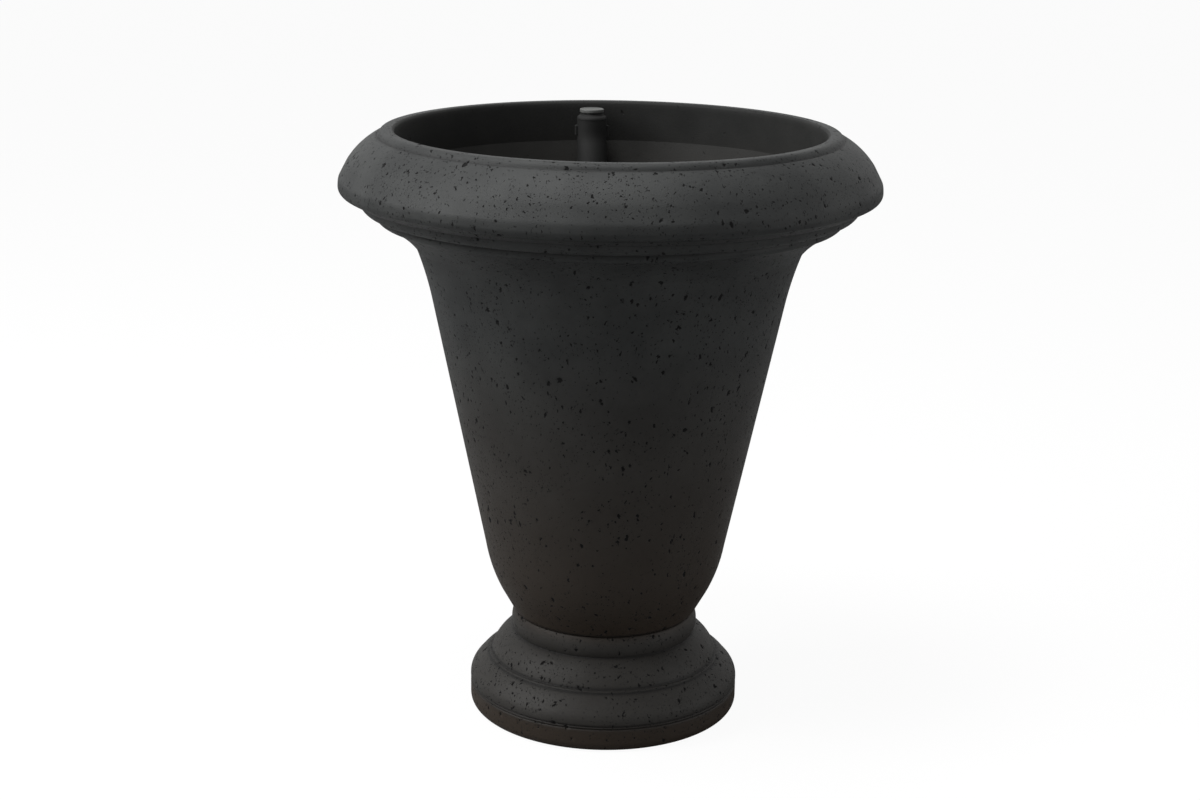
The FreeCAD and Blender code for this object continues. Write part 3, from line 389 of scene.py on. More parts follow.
def calculated(tree: bpy.types.NodeTree, operation: str, first: Any, second: Any,
               clamp: bool = False) -> bpy.types.NodeSocket:
    """Work out one step of a pattern.

    Args:
        tree: The tree that the node goes into.
        operation: The name of the operation.
        first: A socket or a number.
        second: A socket or a number.
        clamp: Whether the result is kept between 0 and 1.

    Returns:
        The result's socket.
    """
    node = add_node(tree, "ShaderNodeMath", operation=operation, use_clamp=clamp)
    for index, value in enumerate((first, second)):
        if isinstance(value, bpy.types.NodeSocket):
            tree.links.new(value, node.inputs[index])
        else:
            node.inputs[index].default_value = value
    return node.outputs[0]


@dataclass(frozen=True)
class PitPattern:
    """The numbers of the pitting.

    Attributes:
        sway: Scale and reach of the noise that leans the pits.
        fray: Scale and reach of the noise that makes their edges ragged.
        stretch: How each axis is scaled. Under 1, the pits grow along it.
        patches: Scale of the noise that crowds them.
        crowding: How that noise is turned into a share of the cells.
        smallest: Radius of the smallest pit, as a share of the largest.
        sharpness: How steep a pit's edge is.
    """

    sway: tuple[float, float] = (26.0, 0.022)
    fray: tuple[float, float] = (480.0, 0.0034)
    stretch: tuple[float, float, float] = (1.0, 1.0, 0.6)
    patches: float = 13.0
    crowding: tuple[tuple[str, float], ...] = (
        ("From Min", 0.38), ("From Max", 0.64), ("To Min", 0.30), ("To Max", 1.6))
    smallest: float = 0.35
    sharpness: float = 20.0


def pitting_group(kind: str) -> bpy.types.NodeTree:
    """Build the pattern of sharp, upright pits that come in clusters.

    The same pattern presses the pits into a shape and paints their shade in its finish.

    Args:
        kind: The sort of tree, for a finish or for geometry.

    Returns:
        A group that takes Vector, Size, Radius and Share, and gives Mask.
    """
    look = PitPattern()
    group = bpy.data.node_groups.new("pitting", kind)
    socket_of(group, "Vector", "NodeSocketVector", True)
    socket_of(group, "Size", "NodeSocketFloat", True, 90.0)
    socket_of(group, "Radius", "NodeSocketFloat", True, 0.25)
    socket_of(group, "Share", "NodeSocketFloat", True, 0.5)
    socket_of(group, "Mask", "NodeSocketFloat", False)
    link = group.links.new
    inputs = add_node(group, "NodeGroupInput")
    outputs = add_node(group, "NodeGroupOutput")
    place = inputs.outputs["Vector"]
    leaning = warped(group, place, *look.sway)
    ragged = warped(group, leaning, *look.fray)
    upright = add_node(group, "ShaderNodeVectorMath", operation="MULTIPLY")
    link(ragged, upright.inputs[0])
    upright.inputs[1].default_value = look.stretch
    cells = add_node(group, "ShaderNodeTexVoronoi")
    link(upright.outputs["Vector"], cells.inputs["Vector"])
    link(inputs.outputs["Size"], cells.inputs["Scale"])
    chance = add_node(group, "ShaderNodeSeparateXYZ")
    link(cells.outputs["Color"], chance.inputs[0])
    patches = add_node(group, "ShaderNodeTexNoise")
    patches.inputs["Scale"].default_value = look.patches
    patches.inputs["Detail"].default_value = 3.0
    link(place, patches.inputs["Vector"])
    crowded = add_node(group, "ShaderNodeMapRange")
    for name, value in look.crowding:
        crowded.inputs[name].default_value = value
    link(patches.outputs["Fac"], crowded.inputs["Value"])
    allowed = calculated(group, "MULTIPLY", crowded.outputs["Result"],
                         inputs.outputs["Share"])
    present = calculated(group, "GREATER_THAN", allowed, chance.outputs["Y"])
    squared = calculated(group, "MULTIPLY", chance.outputs["X"], chance.outputs["X"])
    spread = calculated(group, "MULTIPLY", squared, 1 - look.smallest)
    grown = calculated(group, "ADD", spread, look.smallest)
    reach = calculated(group, "MULTIPLY", grown, inputs.outputs["Radius"])
    within = calculated(group, "SUBTRACT", reach, cells.outputs["Distance"])
    edge = calculated(group, "MULTIPLY", within, look.sharpness, clamp=True)
    link(calculated(group, "MULTIPLY", edge, present), outputs.inputs["Mask"])
    return group


def weathering_group() -> bpy.types.NodeTree:
    """Build the shared pattern of cloudy tone and fine grain.

    Returns:
        A group that takes Vector, Clouds and Grain scales, and gives Tone and Grain.
    """
    group = bpy.data.node_groups.new("weathering", "ShaderNodeTree")
    socket_of(group, "Vector", "NodeSocketVector", True)
    socket_of(group, "Clouds", "NodeSocketFloat", True, 14.0)
    socket_of(group, "Grain", "NodeSocketFloat", True, 900.0)
    socket_of(group, "Tone", "NodeSocketFloat", False)
    socket_of(group, "Grain", "NodeSocketFloat", False)
    link = group.links.new
    inputs = add_node(group, "NodeGroupInput")
    outputs = add_node(group, "NodeGroupOutput")
    clouds = add_node(group, "ShaderNodeTexNoise")
    clouds.inputs["Detail"].default_value = 6.0
    clouds.inputs["Roughness"].default_value = 0.6
    link(inputs.outputs["Vector"], clouds.inputs["Vector"])
    link(inputs.outputs["Clouds"], clouds.inputs["Scale"])
    spread = add_node(group, "ShaderNodeMapRange")
    spread.inputs["From Min"].default_value = 0.36
    spread.inputs["From Max"].default_value = 0.66
    link(clouds.outputs["Fac"], spread.inputs["Value"])
    link(spread.outputs["Result"], outputs.inputs["Tone"])
    grain = add_node(group, "ShaderNodeTexNoise")
    grain.inputs["Detail"].default_value = 2.0
    link(inputs.outputs["Vector"], grain.inputs["Vector"])
    link(inputs.outputs["Grain"], grain.inputs["Scale"])
    link(grain.outputs["Fac"], outputs.inputs["Grain"])
    return group


@dataclass(frozen=True)
class Patterns:
    """The node groups that several finishes share."""

    pressed: bpy.types.NodeTree
    pitting: bpy.types.NodeTree
    weathering: bpy.types.NodeTree


def blank_material(name: str, roughness: float, metallic: float,
                   specular: float) -> tuple[bpy.types.Material, bpy.types.Node]:
    """Start a material.

    Args:
        name: The material's name.
        roughness: How rough its surface is.
        metallic: 1 for bare metal, otherwise 0.
        specular: The strength of its plain reflection.

    Returns:
        The material and its shader node.
    """
    material = bpy.data.materials.new(name)
    material.use_nodes = True
    shader = material.node_tree.nodes["Principled BSDF"]
    shader.inputs["Roughness"].default_value = roughness
    shader.inputs["Metallic"].default_value = metallic
    shader.inputs["Specular IOR Level"].default_value = specular
    return material, shader


@dataclass(frozen=True)
class StoneFinish:
    """Charcoal cast stone look: cloudy tone, pits, pinholes, painted shade in pits and seams,
    and a warm tint by height with painted shade and light.

    Attributes:
        name: The material's name.
        dark: The darker tone.
        light: The lighter tone.
        pit: The tone at the bottom of the pits, painted shade in the hollows.
        warm_tint_and_shading: The warm tone laid on by height: a brown tint, on the outside
            also painted shade on the foot, on the inside painted light on the lower wall.
        roughness: How rough the surface is.
        specular: The strength of its plain reflection.
        pits: The larger hollows, or none on a smooth side.
        pinholes: How many of the finest cells have a pinhole, from 0 to 1.
        tint_and_shading_by_height: How much of the warm tint and its painted shade or light
            there is at each height, in metres.
        pinhole_depth: How deep a pinhole is against a pit, and how dark its painted shade is.
        seam_shade: How much of the pits' dark tone is painted into the seams as shade.
        grain: Height of the fine grain against the pits' depth.
        relief: How far the bump reaches, in metres.
    """

    name: str
    dark: tuple[float, float, float]
    light: tuple[float, float, float]
    pit: tuple[float, float, float]
    warm_tint_and_shading: tuple[float, float, float]
    roughness: float
    specular: float
    pits: Pits
    pinholes: float
    tint_and_shading_by_height: tuple[tuple[float, float], ...]
    pinhole_depth: float = 0.7
    seam_shade: float = 0.85
    grain: float = 0.16
    relief: float = 0.0015

    def holes(self, tree: bpy.types.NodeTree, patterns: Patterns,
              place: bpy.types.NodeSocket) -> bpy.types.NodeSocket:
        """Lay the pits, the finer pits between them and the pinholes over each other."""
        masks = []
        for size, radius, share in (
                (self.pits.size, self.pits.radius, self.pits.share),
                (self.pits.size * 2.0, self.pits.radius * 1.2, self.pits.share * 0.7),
                (self.pits.size * 4.2, self.pits.radius * 1.4, self.pinholes)):
            layer = add_node(tree, "ShaderNodeGroup", node_tree=patterns.pitting)
            layer.inputs["Size"].default_value = size
            layer.inputs["Radius"].default_value = radius
            layer.inputs["Share"].default_value = share
            tree.links.new(place, layer.inputs["Vector"])
            masks.append(layer.outputs["Mask"])
        fine = calculated(tree, "MULTIPLY", masks[2], self.pinhole_depth)
        return calculated(tree, "MAXIMUM", calculated(tree, "MAXIMUM", *masks[:2]), fine)

    def material(self, patterns: Patterns) -> bpy.types.Material:
        """Build the material from the shared patterns."""
        made, shader = blank_material(self.name, self.roughness, 0.0, self.specular)
        tree = made.node_tree
        link = tree.links.new
        place = add_node(tree, "ShaderNodeTexCoord").outputs["Object"]
        holes = self.holes(tree, patterns, place)
        cloud = add_node(tree, "ShaderNodeGroup", node_tree=patterns.weathering)
        link(place, cloud.inputs["Vector"])
        tone = add_node(tree, "ShaderNodeMix", data_type="RGBA")
        tone.inputs[6].default_value = (*self.dark, 1)
        tone.inputs[7].default_value = (*self.light, 1)
        link(cloud.outputs["Tone"], tone.inputs[0])
        axes = add_node(tree, "ShaderNodeSeparateXYZ")
        link(place, axes.inputs[0])
        # Warm tone by height: a brown tint, with painted shade on the outer foot and painted
        # light on the lower inner wall.
        height_of = add_node(tree, "ShaderNodeValToRGB")
        stops = height_of.color_ramp.elements
        while len(stops) < len(self.tint_and_shading_by_height):
            stops.new(0.5)
        for stop, (height, share) in zip(stops, self.tint_and_shading_by_height):
            stop.position, stop.color = height, (share, share, share, 1)
        link(axes.outputs["Z"], height_of.inputs["Fac"])
        warm_tint_and_shading = add_node(tree, "ShaderNodeMix", data_type="RGBA")
        link(height_of.outputs["Color"], warm_tint_and_shading.inputs[0])
        link(tone.outputs[2], warm_tint_and_shading.inputs[6])
        warm_tint_and_shading.inputs[7].default_value = (*self.warm_tint_and_shading, 1)
        # Painted shade: the pits' dark tone is laid into the seams by the seam weight.
        seam = add_node(tree, "ShaderNodeAttribute", attribute_name="seam")
        painted_seam_shade = calculated(tree, "MULTIPLY", seam.outputs["Fac"], self.seam_shade)
        # Painted shade: the pits, the pinholes and the seams take the dark pit tone.
        colour = add_node(tree, "ShaderNodeMix", data_type="RGBA")
        link(calculated(tree, "MAXIMUM", holes, painted_seam_shade), colour.inputs[0])
        link(warm_tint_and_shading.outputs[2], colour.inputs[6])
        colour.inputs[7].default_value = (*self.pit, 1)
        link(colour.outputs[2], shader.inputs["Base Color"])
        dull = calculated(tree, "MULTIPLY", holes, 1.0 - self.roughness)
        link(calculated(tree, "ADD", dull, self.roughness), shader.inputs["Roughness"])
        grain = calculated(tree, "MULTIPLY", cloud.outputs["Grain"], self.grain)
        height = calculated(tree, "SUBTRACT", grain, holes)
        bump = add_node(tree, "ShaderNodeBump")
        bump.inputs["Strength"].default_value = 1.0
        bump.inputs["Distance"].default_value = self.relief
        link(height, bump.inputs["Height"])
        link(bump.outputs["Normal"], shader.inputs["Normal"])
        return made


@dataclass(frozen=True)
class MouldedFinish:
    """Plain moulded, rubber or metal surface with a fine grain.

    Attributes:
        name: The material's name.
        dark: The darker tone.
        light: The lighter tone.
        roughness: How rough the surface is.
        metallic: 1 for bare metal.
        relief: The strength of the grain's bump.
    """

    name: str
    dark: tuple[float, float, float]
    light: tuple[float, float, float]
    roughness: float
    metallic: float = 0.0
    relief: float = 0.25

    def material(self, patterns: Patterns) -> bpy.types.Material:
        """Build the material from the shared weathering."""
        made, shader = blank_material(self.name, self.roughness, self.metallic, 0.2)
        tree = made.node_tree
        place = add_node(tree, "ShaderNodeTexCoord")
        cloud = add_node(tree, "ShaderNodeGroup", node_tree=patterns.weathering)
        cloud.inputs["Clouds"].default_value = 45.0
        tree.links.new(place.outputs["Object"], cloud.inputs["Vector"])
        tone = add_node(tree, "ShaderNodeMix", data_type="RGBA")
        tone.inputs[6].default_value = (*self.dark, 1)
        tone.inputs[7].default_value = (*self.light, 1)
        tree.links.new(cloud.outputs["Tone"], tone.inputs[0])
        tree.links.new(tone.outputs[2], shader.inputs["Base Color"])
        bump = add_node(tree, "ShaderNodeBump")
        bump.inputs["Strength"].default_value = self.relief
        bump.inputs["Distance"].default_value = 0.0002
        tree.links.new(cloud.outputs["Grain"], bump.inputs["Height"])
        tree.links.new(bump.outputs["Normal"], shader.inputs["Normal"])
        return made


# Outside: the warm tone is darker than the stone, a brown tint and painted shade on the foot
# and the low body.
OUTSIDE = StoneFinish(
    "stone_outside", dark=(0.0130, 0.0138, 0.0138), light=(0.0225, 0.0236, 0.0232),
    pit=(0.002, 0.002, 0.002), warm_tint_and_shading=(0.0180, 0.0128, 0.0088), roughness=0.6, specular=0.17,
    pits=Pits(), pinholes=0.85,
    tint_and_shading_by_height=((0.022, 1.0), (0.030, 0.35), (0.100, 0.35), (0.113, 1.0), (0.24, 0.6), (0.44, 0.0)))
# Inside: the warm tone is lighter than the stone, a brown tint and painted light on the lower
# wall below the ledge.
INSIDE = StoneFinish(
    "stone_inside", dark=(0.0080, 0.0083, 0.0080), light=(0.0135, 0.0136, 0.0130),
    pit=(0.006, 0.006, 0.0055), warm_tint_and_shading=(0.0135, 0.0122, 0.0106), roughness=0.66,
    specular=0.12, pits=Pits(share=0.04), pinholes=0.10,
    tint_and_shading_by_height=((0.52, 1.0), (0.60, 0.0)))

FINISHES: dict[Fitting, MouldedFinish] = {
    # Painted shade: the column is set far darker than the inner stone, so that it stays dim at
    # the shaded back of the bowl.
    Fitting.COLUMN: MouldedFinish(
        "column_grey", (0.0030, 0.0032, 0.0030), (0.0050, 0.0050, 0.0049), 0.75),
    Fitting.CAP: MouldedFinish(
        "cap_grey", (0.052, 0.054, 0.052), (0.072, 0.073, 0.070), 0.55),
    Fitting.LINER: MouldedFinish(
        "liner_black", (0.012, 0.012, 0.012), (0.018, 0.018, 0.018), 0.5),
    Fitting.FITTING: MouldedFinish(
        "fitting_black", (0.014, 0.014, 0.015), (0.022, 0.022, 0.023), 0.42),
    Fitting.SEAL: MouldedFinish(
        "seal_rubber", (0.008, 0.008, 0.008), (0.012, 0.012, 0.012), 0.75),
    Fitting.BOLT: MouldedFinish(
        "bolt_steel", (0.50, 0.50, 0.49), (0.60, 0.60, 0.59), 0.34, 1.0, 0.12),
    Fitting.INSERT: MouldedFinish(
        "insert_brass", (0.56, 0.41, 0.19), (0.66, 0.50, 0.25), 0.32, 1.0, 0.12),
}


# ------------------------------------------------------------------ stone shells


def two_sided(piece: bpy.types.Object, outer: bpy.types.Material,
              inner: bpy.types.Material) -> None:
    """Give the inner and the outer side of a piece their finishes.

    Faces that look towards the axis are inner, and so are the top of the bowl's floor
    and the underside of the foot's seat plate.

    Args:
        piece: A turned piece.
        outer: The finish of the outer side.
        inner: The finish of the inner side.
    """
    piece.data.materials.append(outer)
    piece.data.materials.append(inner)
    faces = piece.data.polygons
    centres, normals = vectors(faces, "center"), vectors(faces, "normal")
    radius, lean = radius_and_lean(centres, normals)
    floor_top = (normals[:, 2] > 0.5) & (centres[:, 2] < 0.2) & (radius < 0.09)
    plate_under = (normals[:, 2] < -0.5) & (centres[:, 2] > 0.05) & (radius < 0.097)
    inside = (lean < -0.25) | floor_top | plate_under
    piece.data.polygons.foreach_set("material_index", inside.astype(np.int32))
    piece.data.update()


@dataclass(frozen=True)
class Bowl:
    """The bowl: a wall with its floor, and the rolled rim on top of it.

    Attributes:
        round_steps: How many steps go round the rim.
        wall_steps: How many steps go round the wall.
        pits: The larger hollows of its surface.
        bolt_circle: Radius on which the bosses stand, in millimetres.
        boss_radius: Radius of a boss, in millimetres.
        boss_depth: Height of a boss.
        boss_middle: Height of its middle above the floor.
        boss_edge: Rounding of its edges.
        rim_seams: Radius and height of each seam of the rim, and of a spot under its band,
            where shade is painted.
        wall_seams: Radius and height of each seam of the wall, where shade is painted.
    """

    round_steps: int = 680
    wall_steps: int = 418
    pits: Pits = OUTSIDE.pits
    bolt_circle: float = 62.0
    boss_radius: float = 11.0
    boss_depth: float = 14.0
    boss_middle: float = 103.0
    boss_edge: float = 1.2
    rim_seams: tuple[tuple[float, float], ...] = (
        (238.8, 621.9), (272.8, 563.4), (260.8, 557.3), (241.3, 545.0))
    wall_seams: tuple[tuple[float, float], ...] = ((238.4, 536.4), (98.5, 109.6))

    def rim_section(self) -> list[Corner]:
        """Section of the rim: mouldings outside, lip, inner wall and hollow."""
        return [
            Corner(238.6, 536.6, 0, 4.0),
            Corner(240.9, 544.4, 1.8, 1.1),
            Corner(252.0, 546.8, 0, 1.5),
            Corner(258.4, 556.8, 1.3, 1.1),
            Corner(261.4, 557.5, 0, 1.0),
            Corner(276.6, 565.4, 0, 1.5),
            Corner(279.3, 573.0, 1.1, 0.8),
            Corner(278.4, 580.0, 0.25, 1.1),
            Corner(270.1, 595.8, 0, 1.6),
            Corner(240.5, 622.4, 2.6, 1.6),
            Corner(238.6, 621.9, 0, 0.9),
            Corner(237.6, 624.0, 0, 0.9),
            Corner(230.5, 628.65, 1.5, 1.0),
            Corner(225.0, 628.65, 0, 1.2),
            Corner(221.5, 625.15, 1.0, 1.0),
            Corner(221.0, 584.65, 0, 4.0),
            Corner(225.5, 583.5, 0, 4.0),
            Corner(226.0, 619.6, 0, 20.0),
            Corner(240.5, 616.5, 0, 20.0),
            Corner(265.6, 593.5, 0, 20.0),
            Corner(273.9, 578.5, 0, 20.0),
            Corner(254.5, 563.6, 0, 20.0),
            Corner(251.3, 555.3, 0, 20.0),
            Corner(232.2, 553.5, 0, 20.0),
            Corner(232.1, 543.5, 0, 20.0),
        ]

    def wall_section(self) -> list[Corner]:
        """Section of the wall: floor, spigot, belly, body, flare and cavetto."""
        return [
            Corner(19.2, 92.0, 0, 5.0),
            Corner(92.3, 92.0, 0, 12.0),
            Corner(92.3, 109.4, 0, 6.0),
            Corner(98.0, 109.4, 0, 2.0),
            Corner(112.7, 135.6, 0, 2.2),
            Corner(128.9, 184.9, 2.0, 2.2),
            Corner(184.2, 452.0, 0, 3.3),
            Corner(200.6, 508.0, -1.2, 2.5),
            Corner(238.6, 536.6, -3.2, 1.7),
            Corner(232.1, 543.5, 0, 6.0),
            Corner(209.6, 533.6, 0, 30.0),
            Corner(225.5, 583.5, 0, 30.0),
            Corner(221.0, 584.65, 0, 5.0),
            Corner(194.4, 505.9, 0, 12.0),
            Corner(179.7, 452.0, 1.2, 8.0),
            Corner(124.4, 184.9, 0, 24.0),
            Corner(108.2, 137.9, -2.0, 8.0),
            Corner(93.5, 113.9, 0, 8.0),
            Corner(87.8, 109.4, 0, 5.0),
            Corner(87.8, 103.0, 0, 5.0),
            Corner(81.8, 97.0, -1.7, 3.0),
            Corner(19.2, 97.0, 0, 12.0),
        ]

    def bosses(self) -> bpy.types.Object:
        """Model one boss over a bolt insert and copy it round the bolt circle."""
        angle = math.radians(45)
        deselect_all()
        bpy.ops.mesh.primitive_cylinder_add(
            vertices=64, radius=self.boss_radius * MM, depth=self.boss_depth * MM,
            location=(self.bolt_circle * MM * math.cos(angle),
                      self.bolt_circle * MM * math.sin(angle), self.boss_middle * MM))
        first = bpy.context.active_object
        bpy.ops.object.transform_apply(location=True, rotation=True, scale=True)
        rounding = first.modifiers.new("edge", "BEVEL")
        rounding.width, rounding.segments = self.boss_edge * MM, 3
        bpy.ops.object.modifier_apply(modifier="edge")
        copies = [turned_copy(first, math.radians(90 * turn)) for turn in (1, 2, 3)]
        return joined([first, *copies], "bowl_bosses")

    def build(self, outer: bpy.types.Material, inner: bpy.types.Material,
              pressed: bpy.types.NodeTree) -> None:
        """Turn the rim and the wall, press the pits in and dress both.

        Args:
            outer: The finish of the outer side.
            inner: The finish of the inner side.
            pressed: The pitting group for geometry.
        """
        rim = turned("bowl_rim", self.rim_section(), self.round_steps)
        wall = turned("bowl_wall", self.wall_section(), self.wall_steps)
        for piece, seams in ((rim, self.rim_seams), (wall, self.wall_seams)):
            mark_seams(piece, seams)
            two_sided(piece, outer, inner)
            self.pits.press_into(piece, pressed)
            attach(piece, "planter")
            LOG.info("%s: %d faces", piece.name, len(piece.data.polygons))
        bosses = self.bosses()
        bosses.data.materials.append(inner)
        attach(bosses, "planter")
        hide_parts("bowl")


@dataclass(frozen=True)
class Foot:
    """The hollow stepped foot with its ribs.

    Attributes:
        steps: How many steps go round it.
        pits: The larger hollows of its surface.
        rib_count: How many ribs stand under the seat plate.
        rib_thickness: Thickness of a rib, in millimetres.
        rib_runs: Radius of its inner end, its lower outer and its upper outer corner.
        rib_rises: Height of its top, its inner foot and its outer foot.
        weep_width: Width of the weep notch, in millimetres.
        weep_height: Height of the weep notch, in millimetres.
        weep_reach: From where to where the notch's block runs, towards the back.
        seams: Radius and height of each seam between its mouldings, where shade is painted.
    """

    steps: int = 560
    pits: Pits = OUTSIDE.pits
    rib_count: int = 8
    rib_thickness: float = 4.0
    rib_runs: tuple[float, float, float] = (50.0, 122.0, 96.5)
    rib_rises: tuple[float, float, float] = (86.5, 76.0, 56.0)
    weep_width: float = 24.0
    weep_height: float = 3.5
    weep_reach: tuple[float, float] = (104.0, 152.0)
    seams: tuple[tuple[float, float], ...] = (
        (143.8, 25.9), (143.8, 28.5), (125.6, 57.1), (121.9, 60.6), (98.6, 86.0),
        (95.5, 109.2))

    def section(self) -> list[Corner]:
        """Section of the foot: plinth, beads, torus, apron, collar and the hollow."""
        return [
            Corner(120.8, 0.0, 0, 4.0),
            Corner(137.5, 0.0, 0, 3.0),
            Corner(145.3, 9.0, 1.9, 1.0),
            Corner(145.3, 25.2, 0, 1.3),
            Corner(143.7, 25.8, 0, 0.8),
            Corner(145.0, 26.4, 0, 0.8),
            Corner(145.0, 28.0, 0.35, 0.7),
            Corner(143.7, 28.6, 0, 0.8),
            Corner(145.3, 29.2, 0, 0.8),
            Corner(138.6, 45.6, 2.3, 1.2),
            Corner(126.5, 56.8, 0.9, 1.3),
            Corner(125.0, 57.2, 0, 0.8),
            Corner(122.8, 59.8, 1.3, 0.7),
            Corner(121.6, 60.2, 0, 0.8),
            Corner(122.0, 61.0, 0, 0.8),
            Corner(99.9, 85.4, 3.2, 1.3),
            Corner(98.0, 86.0, 0, 0.8),
            Corner(97.1, 109.0, 2.8, 1.2),
            Corner(92.6, 109.0, 0, 2.0),
            Corner(92.6, 92.0, 0, 6.0),
            Corner(31.9, 92.0, 0, 15.0),
            Corner(31.9, 86.0, 0, 3.0),
            Corner(94.5, 86.0, 0, 10.0),
            Corner(122.0, 54.5, 0, 8.0),
            Corner(133.0, 42.1, 0, 8.0),
            Corner(140.8, 29.2, 0, 8.0),
            Corner(140.8, 5.0, 0, 8.0),
            Corner(120.8, 5.0, 0, 6.0),
        ]

    def ribs(self) -> bpy.types.Object:
        """Model one rib as a wedge under the seat plate and copy it round the foot."""
        inner, low, high = self.rib_runs
        top_rise, inner_rise, outer_rise = self.rib_rises
        deselect_all()
        bpy.ops.mesh.primitive_cube_add(size=1)
        first = bpy.context.active_object
        for vertex in first.data.vertices:
            outer, top = vertex.co.x > 0, vertex.co.z > 0
            across = math.copysign(self.rib_thickness / 2, vertex.co.y)
            run = (high if top else low) if outer else inner
            rise = top_rise if top else (outer_rise if outer else inner_rise)
            vertex.co = (run * MM, across * MM, rise * MM)
        angle = math.pi / self.rib_count
        copies = [turned_copy(first, angle * (2 * turn + 1))
                  for turn in range(self.rib_count)]
        bpy.data.objects.remove(first)
        return joined(copies, "foot_ribs")

    def cut_weep_notch(self, foot: bpy.types.Object) -> None:
        """Cut the low notch through the plinth's back edge, where water runs out."""
        deselect_all()
        bpy.ops.mesh.primitive_cube_add(size=1)
        block = bpy.context.active_object
        for vertex in block.data.vertices:
            across = math.copysign(self.weep_width / 2, vertex.co.x)
            along = self.weep_reach[1 if vertex.co.y > 0 else 0]
            rise = self.weep_height if vertex.co.z > 0 else -2.0
            vertex.co = (across * MM, along * MM, rise * MM)
        notch = foot.modifiers.new("weep", "BOOLEAN")
        notch.operation, notch.solver, notch.object = "DIFFERENCE", "EXACT", block
        choose(foot)
        bpy.ops.object.modifier_apply(modifier="weep")
        bpy.data.objects.remove(block)

    def build(self, outer: bpy.types.Material, inner: bpy.types.Material,
              pressed: bpy.types.NodeTree) -> None:
        """Turn the foot, cut the weep notch, press the pits in and add the ribs.

        Args:
            outer: The finish of the outer side.
            inner: The finish of the inner side.
            pressed: The pitting group for geometry.
        """
        foot = turned("foot_shell", self.section(), self.steps)
        mark_seams(foot, self.seams)
        two_sided(foot, outer, inner)
        self.cut_weep_notch(foot)
        self.pits.press_into(foot, pressed)
        ribs = self.ribs()
        ribs.data.materials.append(inner)
        for piece in (foot, ribs):
            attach(piece, "planter")
            LOG.info("%s: %d faces", piece.name, len(piece.data.polygons))
        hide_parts("foot")


# ------------------------------------------------------------------ column and fittings


@dataclass(frozen=True)
class FillColumn:
    """The top of the fill column: neck and cap with softened edges.

    Attributes:
        stand: How far the column stands from the axis, towards the back.
        steps: How many steps go round its turned pieces.
    """

    stand: float = 199.5
    steps: int = 96

    def neck_section(self) -> list[Corner]:
        """Section of the neck: spigot, rounded shoulder and ring."""
        return [
            Corner(10.3, 599.0, 0, 3.0),
            Corner(13.9, 599.0, 0, 2.0),
            Corner(13.9, 611.0, 0, 3.0),
            Corner(16.5, 611.0, 0, 0.9),
            Corner(16.5, 612.0, 0, 0.5),
            Corner(13.2, 616.0, 1.0, 0.5),
            Corner(13.2, 617.6, 0, 0.5),
            Corner(10.3, 617.6, 0, 0.9),
        ]

    def cap_section(self) -> list[Corner]:
        """Section of the cap: hollow stem, rolled edge and dished top."""
        return [
            Corner(0.0, 620.2, 0, 1.5),
            Corner(8.0, 620.2, 0, 1.5),
            Corner(8.0, 605.0, 0, 3.0),
            Corner(10.0, 605.0, 0, 1.0),
            Corner(10.0, 619.3, 0, 3.0),
            Corner(13.5, 619.3, 0, 0.7),
            Corner(13.5, 622.2, 0, 0.5),
            Corner(12.7, 623.0, 0.25, 0.4),
            Corner(10.9, 623.0, 0, 0.5),
            Corner(10.3, 622.4, 0, 0.4),
            Corner(0.0, 622.4, 0, 1.2),
        ]

    def build(self, column: bpy.types.Material, cap: bpy.types.Material) -> None:
        """Turn the neck and the cap at the column's place."""
        centre = (0.0, self.stand)
        neck = turned("column_neck", self.neck_section(), self.steps, 1, centre)
        lid = turned("column_cap", self.cap_section(), self.steps, 1, centre)
        for piece, finish, body, slot, node in (
                (neck, column, "planter", "column_grey", "fill_neck"),
                (lid, cap, "cap", "cap_grey", "fill_cap")):
            piece.data.materials.append(finish)
            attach(piece, body)
            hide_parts(node)
            LOG.info("%s: %d faces", piece.name, len(piece.data.polygons))


@dataclass(frozen=True)
class FittedParts:
    """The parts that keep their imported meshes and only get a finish."""

    def build(self, frame: dict[str, Any], finishes: dict[str, bpy.types.Material],
              stone: bpy.types.Material) -> None:
        """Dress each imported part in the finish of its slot.

        Args:
            finishes: The material of each slot of the fitted parts.
            stone: The finish of the slot that isn't a fitted part's.
        """
        slots = {row["node"]: row["material_slot"] for row in frame["record"]["subparts"]}
        for name, piece in frame["nodes"].items():
            finish = finishes.get(slots[name], stone)
            piece.data.materials.clear()
            piece.data.materials.append(finish)
            LOG.info("%s: %s", name, finish.name)


# ------------------------------------------------------------------ studio and camera


@dataclass(frozen=True)
class Softbox:
    """A square lamp.

    Attributes:
        name: The lamp's name.
        place: Where it hangs, in metres.
        size: The length of its side, in metres.
        power: Its power, in watts.
    """

    name: str
    place: tuple[float, float, float]
    size: float
    power: float

    def hang(self, aim: Vector) -> None:
        """Hang the lamp and turn it towards a point."""
        data = bpy.data.lights.new(self.name, "AREA")
        data.shape, data.size, data.energy = "SQUARE", self.size, self.power
        lamp = bpy.data.objects.new(self.name, data)
        bpy.context.scene.collection.objects.link(lamp)
        lamp.location = self.place
        lamp.rotation_euler = (aim - lamp.location).to_track_quat("-Z", "Y").to_euler()


